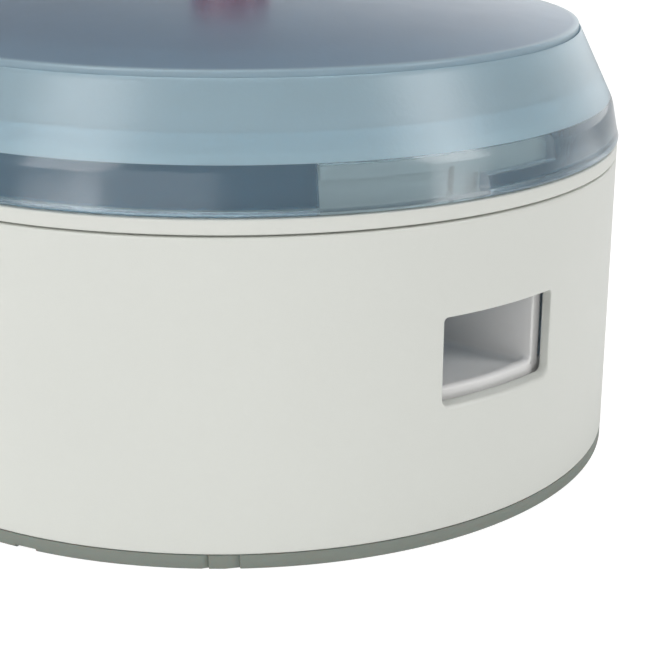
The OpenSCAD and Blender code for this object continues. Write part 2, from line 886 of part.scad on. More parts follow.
module lid() {
    boss_top = dome_height(ear_pitch + ear_r) - lid_wall / 2;
    color(lid_color) difference() {
        union() {
            rotate_extrude() lid_section();
            ring_of(ear_count, ear_angle) translate([0, -ear_pitch, plate_z + plate_t])
                cylinder(r = lid_boss_r, h = boss_top - plate_z - plate_t, $fn = fine_fn);
        }
        ring_of(ear_count, ear_angle) translate([0, -ear_pitch, lid_z])
            cylinder(r = pad_pilot, h = plate_z + plate_t - lid_z + screw_len, $fn = fine_fn);
        ring_of(lock_count) lock_channel();
    }
}

// L-shaped channel: an entry open at the bottom and a leg that the lug turns into
module lock_channel() {
    intersection() {
        channel_band(leg_z, leg_top + cut, entry_from, leg_to, lock_wall);
        leg_outline();
    }
    channel_band(lid_z - cut, leg_z + cut, entry_from + entry_draft, entry_to, lock_wall + seat);
}

// side view of the leg with its rounded far corner, along the radius at that corner
module leg_outline() {
    reach = 2 * body_r * tan((leg_to - entry_from) / 2);
    corner_turn = leg_corner / lug_r * 180 / PI;
    rotate([0, 0, leg_to - corner_turn]) rotate([90, 0, 0]) linear_extrude(body_r + cut) polygon(concat(
        [
            [-reach, leg_top],
            [-reach, leg_z - cut],
            [leg_corner + cut, leg_z - cut],
            [leg_corner + cut, leg_top - 2 * leg_corner]
        ],
        arc_points(0, leg_top - leg_corner, leg_corner, round_from, 90, edge_steps)
    ));
}

module channel_band(z0, z1, from, to, wall) {
    mid_z = min(max(crease_z, z0 + wall), z1 - seat);
    rotate([0, 0, from - 90]) rotate_extrude(angle = to - from) polygon([
        [thick_r - cut, z0],
        [lid_outer_r(z0) - wall, z0],
        [lid_outer_r(mid_z) - wall, mid_z],
        [lid_outer_r(z1) - wall, z1],
        [thick_r - cut, z1]
    ]);
}

module lid_seal() {
    color(seal_color) translate([0, 0, seal_z]) difference() {
        tube(seal_out_r, seal_in_r, seal_h);
        translate([0, 0, (seal_h - seal_groove) / 2])
            tube(seal_out_r + cut, seal_out_r - seal_groove, seal_groove);
    }
}

module button_guide() {
    color(white_color) difference() {
        union() {
            translate([0, 0, plate_z]) cylinder(r = plate_r, h = plate_t);
            translate([0, 0, plate_z]) cylinder(r = stem_r + run + sleeve_wall, h = sleeve_h);
            translate([0, 0, plate_z])
                tube(plate_r, guide_bore + guide_wall + seat, plate_t + plate_rim);
            ring_of(ear_count, ear_angle) {
                translate([0, -ear_pitch, plate_z]) cylinder(r = ear_r, h = plate_t);
                translate([-ear_r, -ear_pitch, plate_z]) cube([2 * ear_r, ear_r * 2, plate_t]);
            }
        }
        translate([0, 0, plate_z - cut]) cylinder(r = stem_r + run, h = sleeve_h + 2 * cut);
        ring_of(ear_count, ear_angle) translate([0, -ear_pitch, plate_z - cut])
            cylinder(r = screw_r + gap, h = plate_t + 2 * cut, $fn = fine_fn);
    }
}

module guide_screws() {
    color(steel_color) ring_of(ear_count, ear_angle)
        translate([0, -ear_pitch, plate_z]) screw(screw_len, pad_pilot);
}

// -------------------------------------------------- button

// half section of the cap: straight side, rounded edge and dome
module cap_profile(wall, low) {
    dome_z = cap_side_top + button_dome - cap_curve;
    edge_r = button_r - cap_edge;
    edge_z = sqrt(pow(cap_curve - cap_edge, 2) - pow(edge_r, 2));
    edge_to = atan2(edge_z, edge_r);
    polygon(concat(
        [[0, low], [button_r - wall, low]],
        arc_points(edge_r, dome_z + edge_z, cap_edge - wall, 0, edge_to, edge_steps),
        arc_points(0, dome_z, cap_curve - wall, edge_to + cut, 90, cap_steps)
    ));
}

module button_cap() {
    color(red_color) difference() {
        union() {
            rotate_extrude() difference() {
                cap_profile(0, cap_low);
                cap_profile(cap_wall, cap_low - cut);
            }
            translate([0, 0, stem_top])
                cylinder(r = cap_boss_r, h = cap_side_top + button_dome - stem_top - cap_wall / 2);
        }
        translate([0, 0, stem_top - cut])
            cylinder(r = pad_pilot, h = screw_len - shelf_t + cut, $fn = fine_fn);
    }
}

module button_stem() {
    color(white_color) difference() {
        union() {
            translate([0, 0, stem_low]) cylinder(r = stem_r, h = stem_top - stem_low);
            translate([0, 0, stem_top - stem_flange_t]) cylinder(r = stem_flange_r, h = stem_flange_t);
        }
        translate([0, 0, stem_low - cut]) cylinder(r = stem_bore, h = stem_top - shelf_t - stem_low + cut);
        translate([0, 0, stem_low]) cylinder(r = screw_r + seat, h = stem_top, $fn = fine_fn);
        translate([0, 0, eclip_z - seat])
            tube(stem_r + cut, stem_r - eclip_groove, eclip_t + 2 * seat);
    }
}

module stem_screw() {
    color(steel_color) translate([0, 0, stem_top - shelf_t]) screw(screw_len, pad_pilot);
}

module button_clip() {
    color(steel_color) translate([0, 0, eclip_z])
        retainer(eclip_r, stem_r - eclip_groove + seat, eclip_t);
}

module button_spring() {
    color(steel_color)
        coil(button_spring_r, button_wire, button_spring_low, button_spring_top - stem_flange_t,
            button_curls);
}

foot_ring();
base_plate();
outer_shell();
top_ring();
deck_plate();
spindle();
sleeve_clip();
detent_spring();
base_screws();
deck_screws();
spindle_screws();
detent_screw();
return_spring();
carousel();
ratchet_ring();
carousel_bush();
hub_cover();
drive_sleeve();
pawl_ring();
plunger();
cross_pin();
lid_seal();
lid();
button_guide();
guide_screws();
button_cap();
button_stem();
stem_screw();
button_clip();
button_spring();
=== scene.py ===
import math
import bmesh
import bpy
from mathutils import Matrix, Vector


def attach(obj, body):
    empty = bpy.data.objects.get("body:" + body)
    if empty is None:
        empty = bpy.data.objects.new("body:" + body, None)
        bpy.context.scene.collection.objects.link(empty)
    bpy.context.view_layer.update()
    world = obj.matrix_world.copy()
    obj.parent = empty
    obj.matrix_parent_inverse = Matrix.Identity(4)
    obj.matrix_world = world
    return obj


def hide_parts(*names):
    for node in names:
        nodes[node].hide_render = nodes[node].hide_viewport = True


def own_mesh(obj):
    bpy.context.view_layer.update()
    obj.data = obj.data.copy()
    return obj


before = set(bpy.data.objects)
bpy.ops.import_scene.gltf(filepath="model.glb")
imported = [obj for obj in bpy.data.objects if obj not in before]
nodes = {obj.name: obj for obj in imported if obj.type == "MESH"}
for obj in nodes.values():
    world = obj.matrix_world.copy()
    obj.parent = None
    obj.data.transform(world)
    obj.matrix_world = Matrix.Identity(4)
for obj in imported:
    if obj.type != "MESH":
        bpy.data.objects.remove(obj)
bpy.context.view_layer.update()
mm = 0.001

# sizes in millimetres that more than one piece uses
drum = {"radius": 95.0, "wall": 2.6, "footTop": 3.4, "top": 72.3, "footGap": 0.05, "edge": 0.5,
        "innerEdge": 0.4, "holdRow": 0.6, "columns": 150}
button = {"radius": 10.0, "low": 98.0, "sideTop": 124.0, "dome": 3.0, "wall": 2.0, "edge": 2.4,
          "lowEdge": 0.5, "innerEdge": 0.3, "holdRow": 1.5, "pole": 0.02, "columns": 128}
repeats = 3  # the lock and the foot's marks come three times round


def arc(cx, cz, radius, start, stop, steps):
    out = []
    for i in range(steps + 1):
        a = math.radians(start + (stop - start) * i / steps)
        out.append((cx + radius * math.cos(a), cz + radius * math.sin(a)))
    return out


def polar(phi, radius, z):  # phi in degrees from the window towards +X
    a = math.radians(phi)
    return (radius * math.sin(a) * mm, -radius * math.cos(a) * mm, z * mm)


def evenAngles(count):
    return [360 * i / count for i in range(count)]


def nearAngles(count, marks):  # even angles plus a close pair at each mark, as often as it repeats
    out = set(round(a, 4) for a in evenAngles(count))
    for turn in range(repeats):
        for mark in marks:
            a = (mark + 360 * turn / repeats) % 360
            out = {x for x in out if abs(x - a) > 0.35}
            out |= {round(a - 0.03, 4), round(a + 0.03, 4)}
    return sorted(out)


def foldedAngle(phi):  # the same place in the repeat that has the window in its middle
    a = phi % (360 / repeats)
    return a - 360 / repeats if a > 180 / repeats else a


def finished(name, mesh, sharpAngle, mergeWithin=0.0):  # faces outwards, smooth up to the sharp angle
    work = bmesh.new()
    work.from_mesh(mesh)
    if mergeWithin:
        bmesh.ops.remove_doubles(work, verts=work.verts, dist=mergeWithin)
    bmesh.ops.recalc_face_normals(work, faces=work.faces)
    work.to_mesh(mesh)
    work.free()
    mesh.shade_smooth()
    mesh.set_sharp_from_angle(angle=math.radians(sharpAngle))
    piece = bpy.data.objects.new(name, mesh)
    bpy.context.scene.collection.objects.link(piece)
    return piece


def meshPiece(name, verts, faces, material, sharpAngle=40):
    mesh = bpy.data.meshes.new(name)
    mesh.from_pydata(verts, [], faces)
    mesh.materials.append(material)
    return finished(name, mesh, sharpAngle, 1e-7)


def revolved(name, sectionAt, angles, material, sharpAngle=40):  # closed section, one per angle
    verts, faces = [], []
    for phi in angles:
        verts += [polar(phi, r, z) for r, z in sectionAt(phi)]
    size = len(verts) // len(angles)
    for i in range(len(angles)):
        k = (i + 1) % len(angles)
        for j in range(size):
            n = (j + 1) % size
            faces.append((i * size + j, k * size + j, k * size + n, i * size + n))
    return meshPiece(name, verts, faces, material, sharpAngle)


def settle(piece, body, slot, *replaced):  # rides its body and takes the place of the frame's own nodes
    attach(piece, body)
    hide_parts(*replaced)


def newSockets(group, inputs, outputs):  # each with its name, kind and, where it needs one, a value
    for inOut, sockets in (("INPUT", inputs), ("OUTPUT", outputs)):
        for name, kind, *value in sockets:
            made = group.interface.new_socket(name=name, in_out=inOut, socket_type="NodeSocket" + kind)
            if value:
                made.default_value = value[0]


def newNode(tree, kind, values=None, **settings):  # values by socket, settings such as an operation
    node = tree.nodes.new(kind)
    for setting, value in settings.items():
        setattr(node, setting, value)
    for socket, value in (values or {}).items():
        node.inputs[socket].default_value = value
    return node


def smoothStep(tree, low, high):
    values = {"From Min": low, "From Max": high}
    return newNode(tree, "ShaderNodeMapRange", values, interpolation_type="SMOOTHSTEP")


def link(tree, a, aName, b, bName):
    tree.links.new(a.outputs[aName], b.inputs[bName])


moulding = {"flowScale": 22, "flowDetail": 4, "grainDetail": 3, "smearScale": 160, "smearDetail": 5,
            "grainHeight": 0.0002}


def makeMouldedGroup():  # moulded plastic: fine spark texture, faint flow shade and worn gloss
    group = bpy.data.node_groups.new("mouldedSurface", "ShaderNodeTree")
    newSockets(
        group,
        [("Color", "Color", (0.8, 0.8, 0.8, 1)), ("Shade", "Float", 0.04), ("Roughness", "Float", 0.4),
         ("Roughness Spread", "Float", 0.08), ("Grain Scale", "Float", 2500), ("Grain Depth", "Float", 0.1)],
        [("Color", "Color"), ("Roughness", "Float"), ("Normal", "Vector")])
    inside = newNode(group, "NodeGroupInput")
    outside = newNode(group, "NodeGroupOutput")
    place = newNode(group, "ShaderNodeTexCoord")
    flow = newNode(group, "ShaderNodeTexNoise",
                   {"Scale": moulding["flowScale"], "Detail": moulding["flowDetail"]})
    grain = newNode(group, "ShaderNodeTexNoise", {"Detail": moulding["grainDetail"]})
    smear = newNode(group, "ShaderNodeTexNoise",
                    {"Scale": moulding["smearScale"], "Detail": moulding["smearDetail"]})
    for noise in (flow, grain, smear):
        link(group, place, "Object", noise, "Vector")
    link(group, inside, "Grain Scale", grain, "Scale")
    flowCentre = newNode(group, "ShaderNodeMath", {1: 0.5}, operation="SUBTRACT")
    link(group, flow, "Fac", flowCentre, 0)
    shade = newNode(group, "ShaderNodeMath", {2: 1}, operation="MULTIPLY_ADD")
    link(group, flowCentre, 0, shade, 0)
    link(group, inside, "Shade", shade, 1)
    tone = newNode(group, "ShaderNodeHueSaturation")
    link(group, shade, 0, tone, "Value")
    link(group, inside, "Color", tone, "Color")
    link(group, tone, "Color", outside, "Color")
    smearCentre = newNode(group, "ShaderNodeMath", {1: 0.5}, operation="SUBTRACT")
    link(group, smear, "Fac", smearCentre, 0)
    rough = newNode(group, "ShaderNodeMath", operation="MULTIPLY_ADD", use_clamp=True)
    link(group, smearCentre, 0, rough, 0)
    link(group, inside, "Roughness Spread", rough, 1)
    link(group, inside, "Roughness", rough, 2)
    link(group, rough, 0, outside, "Roughness")
    bump = newNode(group, "ShaderNodeBump", {"Distance": moulding["grainHeight"]})
    link(group, inside, "Grain Depth", bump, "Strength")
    link(group, grain, "Fac", bump, "Height")
    link(group, bump, "Normal", outside, "Normal")
    return group


mouldedGroup = makeMouldedGroup()


def mouldedMaterial(name, look):
    material = bpy.data.materials.new(name)
    material.use_nodes = True
    tree = material.node_tree
    shader = tree.nodes["Principled BSDF"]
    values = {"Color": (*look["color"], 1), "Shade": look["shade"], "Roughness": look["roughness"],
              "Roughness Spread": look["spread"], "Grain Scale": look["grainScale"],
              "Grain Depth": look["grainDepth"]}
    surface = newNode(tree, "ShaderNodeGroup", values, node_tree=mouldedGroup)
    link(tree, surface, "Color", shader, "Base Color")
    link(tree, surface, "Roughness", shader, "Roughness")
    link(tree, surface, "Normal", shader, "Normal")
    for socket, value in look.get("shader", {}).items():
        shader.inputs[socket].default_value = value
    return material


shellLook = {"color": (0.62, 0.632, 0.592), "shade": 0.03, "roughness": 0.42, "spread": 0.1,
             "grainScale": 2600, "grainDepth": 0.22}
trayLook = {"color": (0.80, 0.795, 0.785), "shade": 0.03, "roughness": 0.3, "spread": 0.12,
            "grainScale": 1800, "grainDepth": 0.06}
rubberLook = {"color": (0.19, 0.214, 0.187), "shade": 0.12, "roughness": 0.55, "spread": 0.15,
              "grainScale": 1500, "grainDepth": 0.3,
              "shader": {"Subsurface Weight": 0.3, "Subsurface Scale": 0.002}}
sealLook = {"color": (0.62, 0.67, 0.68), "shade": 0.06, "roughness": 0.45, "spread": 0.1,
            "grainScale": 1500, "grainDepth": 0.1}
guideLook = {"color": (0.70, 0.71, 0.70), "shade": 0.03, "roughness": 0.35, "spread": 0.1,
             "grainScale": 1800, "grainDepth": 0.08}
bearingLook = {"color": (0.78, 0.78, 0.75), "shade": 0.03, "roughness": 0.3, "spread": 0.1,
               "grainScale": 1500, "grainDepth": 0.05}
redLook = {"color": (0.46, 0.012, 0.02), "shade": 0.08, "roughness": 0.24, "spread": 0.1,
           "grainScale": 1400, "grainDepth": 0.04, "shader": {"Coat Weight": 0.3}}
steelLook = {"color": (0.58, 0.59, 0.6), "shade": 0.1, "roughness": 0.32, "spread": 0.25,
             "grainScale": 3000, "grainDepth": 0.15, "shader": {"Metallic": 1.0}}

shellPlastic = mouldedMaterial("shellPlastic", shellLook)
trayPlastic = mouldedMaterial("trayPlastic", trayLook)
footRubber = mouldedMaterial("footRubber", rubberLook)
sealRubber = mouldedMaterial("sealRubber", sealLook)
guidePlastic = mouldedMaterial("guidePlastic", guideLook)
bearingPlastic = mouldedMaterial("bearingPlastic", bearingLook)
redPlastic = mouldedMaterial("redPlastic", redLook)
platedSteel = mouldedMaterial("platedSteel", steelLook)

# color is the cone's and also covers the step's riser as a painted highlight; dome is the darker colour above
# it
lidLook = {"color": (0.62, 0.81, 0.90), "shade": 0.05, "roughness": 0.3, "spread": 0.06,
           "grainScale": 900, "grainDepth": 0.15, "dome": (0.27, 0.40, 0.54), "riserHighlightTop": 103.7,
           "blend": 0.15, "shader": {"Transmission Weight": 0.72, "IOR": 1.5}}
clearLook = {"color": (0.73, 0.86, 0.93), "shade": 0.04, "roughness": 0.16, "spread": 0.06,
             "grainScale": 900, "grainDepth": 0.08,
             "shader": {"Transmission Weight": 0.94, "IOR": 1.5}}
thickLook = {"color": (0.05, 0.19, 0.32), "shade": 0.06, "roughness": 0.3, "spread": 0.08,
             "grainScale": 900, "grainDepth": 0.1,
             "shader": {"Transmission Weight": 0.8, "IOR": 1.5}}
lidFrosted = mouldedMaterial("lidFrosted", lidLook)
lidClear = mouldedMaterial("lidClear", clearLook)
lidThick = mouldedMaterial("lidThick", thickLook)


def darkDomePaintedRiserHighlight(material, look):  # a darker dome above the step; the step's riser keeps the lighter cone colour as a painted highlight
    tree = material.node_tree
    surface = next(node for node in tree.nodes if node.type == "GROUP")
    place = newNode(tree, "ShaderNodeTexCoord")
    parts = newNode(tree, "ShaderNodeSeparateXYZ")
    link(tree, place, "Object", parts, "Vector")
    step = smoothStep(tree, (look["riserHighlightTop"] - look["blend"]) * mm, (look["riserHighlightTop"] + look["blend"]) * mm)
    link(tree, parts, "Z", step, "Value")
    mix = newNode(tree, "ShaderNodeMix", {6: (*look["color"], 1), 7: (*look["dome"], 1)}, data_type="RGBA")
    link(tree, step, "Result", mix, 0)
    link(tree, mix, 2, surface, "Color")


darkDomePaintedRiserHighlight(lidFrosted, lidLook)
print("materials made")


# outerFan and innerFan are shares of the way from the patch's border, the rows distances from the edge
window = {"width": 32.8, "low": 31.9, "high": 51.7, "corner": 2.0, "topCorner": 1.0, "sillEdge": 1.0,
          "sillRise": 0.45, "sillStart": 0.1, "edge": 0.35, "innerEdge": 0.25, "holdRow": 0.3,
          "patchX": 24.0, "patchZ": 6.0, "reach": 4.0, "outerFan": (0.0, 0.4, 0.75),
          "outerRows": (3.0, 2.0, 1.4), "innerRows": (1.3, 2.5), "innerFan": (0.6, 0.0),
          "edgeSteps": 5, "cornerSteps": 4, "widthSteps": 10, "heightSteps": 6}


def windowLoop(offset):  # outline of the window grown by offset, with matching point counts
    lowCorner, topCorner = window["corner"], window["topCorner"]
    corners = []
    for x, z, turn, corner in ((1, "low", -90, lowCorner), (1, "high", 0, topCorner),
                               (-1, "high", 90, topCorner), (-1, "low", 180, lowCorner)):
        cx = x * (window["width"] / 2 - corner)
        cz = window[z] + (corner if z == "low" else -corner)
        corners.append(arc(cx, cz, corner + offset, turn, turn + 90, 2 * window["cornerSteps"]))
    n = window["cornerSteps"]
    loop = []
    for side in range(4):
        first, second = corners[side][n:], corners[(side + 1) % 4][:n + 1]
        steps = window["heightSteps"] if side % 2 == 0 else window["widthSteps"]
        loop += first[:-1]
        loop += [tuple(Vector(first[-1]).lerp(Vector(second[0]), i / steps)) for i in range(steps)]
        loop += second[:-1]
    return loop


def patchLoop():  # border of the square patch, point for point against windowLoop
    w = window["width"] / 2 - window["corner"]
    low, high = window["low"] + window["corner"], window["high"] - window["corner"]
    px, z0, z1 = window["patchX"], window["low"] - window["patchZ"], window["high"] + window["patchZ"]
    n = window["cornerSteps"]
    loop = []
    corners = [(px, z0), (px, z1), (-px, z1), (-px, z0)]
    for side in range(4):
        a, b = Vector(corners[side]), Vector(corners[(side + 1) % 4])
        if side % 2 == 0:
            p, q = Vector((a.x, low if side == 0 else high)), Vector((a.x, high if side == 0 else low))
        else:
            p, q = Vector((w if side == 1 else -w, a.y)), Vector((-w if side == 1 else w, a.y))
        steps = window["heightSteps"] if side % 2 == 0 else window["widthSteps"]
        loop += [tuple(a.lerp(p, i / n)) for i in range(n)]
        loop += [tuple(p.lerp(q, i / steps)) for i in range(steps)]
        loop += [tuple(q.lerp(b, i / n)) for i in range(n)]
    return loop


def drumPoint(x, z, radius):
    return (x * mm, -math.sqrt(radius * radius - x * x) * mm, z * mm)


def drumSection(heights):  # the wall's closed section, with a row at each height of the patch
    outR, inR = drum["radius"], drum["radius"] - drum["wall"]
    low, top = drum["footTop"] + drum["footGap"], drum["top"]
    edge, inner, hold = drum["edge"], drum["innerEdge"], drum["holdRow"]
    section = arc(outR - edge, low + edge, edge, -90, 0, 4) + [(outR, low + edge + hold)]
    section += [(outR, z) for z in heights]
    section += [(outR, top - edge - hold)] + arc(outR - edge, top - edge, edge, 0, 90, 4)
    section += [(inR + inner, top), (inR, top - inner)]
    return section + [(inR, z) for z in reversed(heights)] + [(inR, low)]


def windowLevels(sill):  # rows over the window's edge: share of the way, distances and radii
    w, count = window, len(sill)
    outR, inR = drum["radius"], drum["radius"] - drum["wall"]
    hold, back = w["holdRow"], w["innerEdge"]
    edges = [w["edge"] + (w["sillEdge"] - w["edge"]) * share for share in sill]
    rise = [-w["sillRise"] * share for share in sill]
    levels = [(far, [w["reach"]] * count, [outR] * count) for far in w["outerFan"]]
    levels += [(1.0, [out] * count, [outR] * count) for out in w["outerRows"]]
    for step in range(w["edgeSteps"] + 1):
        a = math.radians(90 * step / w["edgeSteps"])
        outs = [edge * (1 - math.sin(a)) for edge in edges]
        levels.append((1.0, outs, [outR - edge * (1 - math.cos(a)) for edge in edges]))
    levels.append((1.0, [-w["sillStart"] * share for share in sill], [outR - edge - hold for edge in edges]))
    levels.append((1.0, rise, [inR + back + hold] * count))
    for r, out in arc(inR + back, back, back, -90, -180, 3):
        levels.append((1.0, [out + up for up in rise], [r] * count))
    levels += [(1.0, [out] * count, [inR] * count) for out in w["innerRows"]]
    return levels + [(far, [w["reach"]] * count, [inR] * count) for far in w["innerFan"]]


def makeShell():  # a turned drum with a square patch left open, and the window's rows in the patch
    outR, columns, near = drum["radius"], drum["columns"], 1e-6
    z0, z1 = window["low"] - window["patchZ"], window["high"] + window["patchZ"]
    border = patchLoop()
    patchXs = sorted({round(p[0], 6) for p in border})
    patchZs = sorted({round(p[1], 6) for p in border})
    halfAngle = math.degrees(math.asin(window["patchX"] / outR))
    angles = [math.degrees(math.asin(x / outR)) for x in patchXs]
    angles += [halfAngle + (360 - 2 * halfAngle) * i / columns for i in range(1, columns)]
    section = drumSection(patchZs)
    size = len(section)
    verts = [polar(phi, r, z) for phi in angles for r, z in section]
    faces = []
    for i in range(len(angles)):
        k = (i + 1) % len(angles)
        for j in range(size):
            n = (j + 1) % size
            low, high = sorted((section[j][1], section[n][1]))
            if i >= len(patchXs) - 1 or low <= z0 - near or high >= z1 + near:
                faces.append((i * size + j, k * size + j, k * size + n, i * size + n))
    outline = [Vector(p) for p in windowLoop(0.0)]
    away = [Vector(p) - q for p, q in zip(windowLoop(1.0), outline)]
    levels = windowLevels([max(0.0, -out.y) ** 2 for out in away])
    base, count = len(verts), len(border)
    for share, outs, radii in levels:
        for i in range(count):
            if share == 0.0:
                verts.append(polar(math.degrees(math.asin(border[i][0] / outR)), radii[i], border[i][1]))
            else:
                p = Vector(border[i]).lerp(outline[i] + away[i] * outs[i], share)
                verts.append(drumPoint(p.x, p.y, radii[i]))
    for level in range(len(levels) - 1):
        a = base + level * count
        for i in range(count):
            k = (i + 1) % count
            faces.append((a + i, a + k, a + count + k, a + count + i))
    return meshPiece("shellSkin", verts, faces, shellPlastic)


shellSkin = makeShell()
settle(shellSkin, "base", "housing", "outer_shell")
print("drum made")


ring = {"low": 72.8, "top": 76.0, "shadowDepth": 1.4, "edge": 0.45, "lowEdge": 0.25, "seat": 72.4,
        "spigotIn": 89.7, "spigotOut": 92.3, "spigotLow": 69.0, "columns": 180}
# the collar's lugs, slit and pocket, with their places in degrees from the window
collar = {"out": 89.65, "in": 87.65, "top": 85.5, "edge": 0.4, "lugFrom": -26.6, "lugTo": -8.5,
          "lugR": 91.15, "lugLow": 80.5, "slitFrom": -8.0, "slitTo": -7.0, "slitWall": 0.4,
          "slitTop": 82.3, "pocketFrom": -5.1, "pocketTo": -2.9, "pocketDepth": 0.9, "pocketTop": 80.2}


def ringSection(phi):
    a = foldedAngle(phi)
    c, out, inn, edge, high = collar, collar["out"], collar["in"], collar["edge"], collar["top"]
    inPocket = c["pocketFrom"] < a < c["pocketTo"]
    lug = c["lugR"] if c["lugFrom"] < a < c["lugTo"] else out
    dip = out - c["pocketDepth"] if inPocket else out
    if c["slitFrom"] < a < c["slitTo"]:
        dip = inn + c["slitWall"]
    dipTop = c["pocketTop"] if inPocket else c["slitTop"]
    r, low, top, seat = drum["radius"], ring["low"], ring["top"], ring["seat"]
    spigotIn, spigotOut, spigotLow = ring["spigotIn"], ring["spigotOut"], ring["spigotLow"]
    section = [(inn, seat), (spigotIn, seat), (spigotIn, spigotLow), (spigotOut, spigotLow + 0.2)]
    section += [(spigotOut, seat - 0.05), (r - ring["shadowDepth"], seat - 0.05)]
    section += [(r - ring["shadowDepth"], low), (r - 0.8, low)]
    section += arc(r - ring["lowEdge"], low + ring["lowEdge"], ring["lowEdge"], -90, 0, 3)
    section += [(r, low + 0.8), (r, top - ring["edge"] - 0.5)]
    section += arc(r - ring["edge"], top - ring["edge"], ring["edge"], 0, 90, 4)
    section += [(r - 1.5, top), (out + 0.8, top), (out + 0.2, top + 0.05)]
    section += [(dip, top + 0.4), (dip, dipTop - 0.02), (out, dipTop)]
    section += [(out, max(c["lugLow"], dipTop + 0.02) - 0.01), (lug, max(c["lugLow"], dipTop) + 0.1)]
    return section + [(lug, high - edge), (lug - edge, high), (inn + edge, high), (inn, high - edge)]


def makeRing():
    marks = [collar[k] for k in ("lugFrom", "lugTo", "slitFrom", "slitTo", "pocketFrom", "pocketTo")]
    return revolved("ringSkin", ringSection, nearAngles(ring["columns"], marks), shellPlastic)


ringSkin = makeRing()
settle(ringSkin, "base", "housing", "top_ring")
print("ring made")


lidSize = {
    "low": 76.3, "footR": 95.2, "edge": 0.7, "creaseR": 93.4, "creaseZ": 85.0, "creaseRow": 0.6,
    "coneR": 84.9, "coneZ": 102.2, "stepR": 84.4, "stepTop": 103.6, "stepEdge": 0.5, "groove": 0.6,
    "domeRise": 7.7, "domeSteps": 14, "wall": 2.2, "lockTop": 85.7, "lockWall": 1.6, "thickR": 89.95,
    "plugR": 87.69, "plugWall": 1.2, "plugGap": 0.5, "clearTop": 86.4, "boreGap": 0.06, "boreLip": 0.7,
    "tubeOut": 1.86, "tubeLow": 87.1, "tubeEdge": 0.4, "columns": 240,
}
# the locking channel: an entry open at the bottom, then a leg with a rounded end, places in degrees
channel = {"entryFrom": -27.0, "entryTo": -2.8, "legTo": 10.9, "legZ": 80.2, "round": 1.6,
           "roundSpan": 1.0, "roundSteps": 5}


def lidOuter(z):
    s = lidSize
    if z < s["creaseZ"]:
        return s["footR"] - (s["footR"] - s["creaseR"]) * (z - s["low"]) / (s["creaseZ"] - s["low"])
    return s["creaseR"] - (s["creaseR"] - s["coneR"]) * (z - s["creaseZ"]) / (s["coneZ"] - s["creaseZ"])


def domeHeight(r, drop=0.0):
    s = lidSize
    edgeR = s["stepR"] - s["stepEdge"]
    curve = (edgeR * edgeR + s["domeRise"] ** 2) / (2 * s["domeRise"]) - drop
    return s["stepTop"] + s["domeRise"] - drop - curve + math.sqrt(curve * curve - r * r)


def lidOutside(bore):
    s = lidSize
    domeR, lip, steps = s["stepR"] - s["stepEdge"], s["boreLip"], s["domeSteps"]
    points = [(s["thickR"] + s["edge"], s["low"])]
    points += arc(s["footR"] - s["edge"], s["low"] + s["edge"], s["edge"], -90, 0, 4)
    points += [(lidOuter(z), z) for z in (s["low"] + 1.6, s["creaseZ"] - s["creaseRow"])]
    points += [(lidOuter(s["creaseZ"]) - 0.05, s["creaseZ"])]
    for z in (s["creaseZ"] + s["creaseRow"], s["clearTop"], s["coneZ"] - 1.2, s["coneZ"] - 0.3):
        points.append((lidOuter(z), z))
    points += [(s["coneR"] - 0.12, s["coneZ"]), (s["stepR"] - 0.05, s["coneZ"] - s["groove"])]
    points += [(s["stepR"], s["coneZ"] + 0.2)]
    points += arc(domeR, s["stepTop"] - s["stepEdge"], s["stepEdge"], 0, 82, 5)
    for i in range(steps + 1):
        r = domeR - 0.4 + (bore + 1.2 - domeR + 0.4) * i / steps
        points.append((r, domeHeight(r)))
    return points + arc(bore + lip, domeHeight(bore + lip) - lip, lip, 90, 180, 4)


def rimInside(z, cut):  # radius of the rim's inner face, deeper where the channel cuts it
    return lidOuter(z) - lidSize["lockWall"] if cut else lidSize["thickR"]


def lidInside(a, bore):  # from the button's tube over the dome and the plug down to the rim
    s = lidSize
    tube, tubeLow, edge = button["radius"] + s["tubeOut"], s["tubeLow"], s["tubeEdge"]
    inCone = s["wall"] / math.cos(math.atan((s["creaseR"] - s["coneR"]) / (s["coneZ"] - s["creaseZ"])))
    fall = (s["coneZ"] - s["creaseZ"]) / (s["creaseR"] - s["coneR"])
    inTop = s["coneZ"] - s["wall"] / 2
    inTopR = lidOuter(inTop) - inCone
    plugOut, plugIn, plugLow = s["plugR"], s["plugR"] - s["plugWall"], s["lockTop"] + s["plugGap"]
    points = [(bore, tubeLow + edge), (bore + edge, tubeLow), (tube - edge, tubeLow), (tube, tubeLow + edge)]
    for i in range(s["domeSteps"] + 1):
        r = tube + (inTopR - 1.0 - tube) * i / s["domeSteps"]
        points.append((r, domeHeight(r, s["wall"])))
    points += [(inTopR, inTop), (plugIn, inTop + (inTopR - plugIn) * fall), (plugIn, plugLow)]
    points += [(plugOut, plugLow), (plugOut, inTop + (inTopR - plugOut) * fall)]
    points += [(lidOuter(s["lockTop"]) - inCone, s["lockTop"] + 0.02)]
    entry = channel["entryFrom"] < a < channel["entryTo"]
    cut = channel["entryFrom"] < a < channel["legTo"]
    legTop, legZ, low, span = s["lockTop"], channel["legZ"], s["low"], channel["roundSpan"]
    if cut and a > channel["legTo"] - span:
        reach = (a - channel["legTo"] + span) / span
        legTop -= channel["round"] * (1 - math.sqrt(max(0.0, 1 - reach * reach)))
    points += [(rimInside(legTop, cut), legTop + (0.01 if cut else 0.0)), (rimInside(legTop, cut), legTop)]
    points += [(rimInside(legZ, cut), legZ + 0.02), (rimInside(legZ, entry), legZ)]
    points += [(rimInside(low, entry), low + 0.7)]
    return points + [(rimInside(low, entry) + 0.05, low + 0.02) if entry else (s["thickR"] + 0.3, low + 0.3)]


def lidSection(phi):
    bore = button["radius"] + lidSize["boreGap"]
    return lidOutside(bore) + lidInside(foldedAngle(phi), bore)


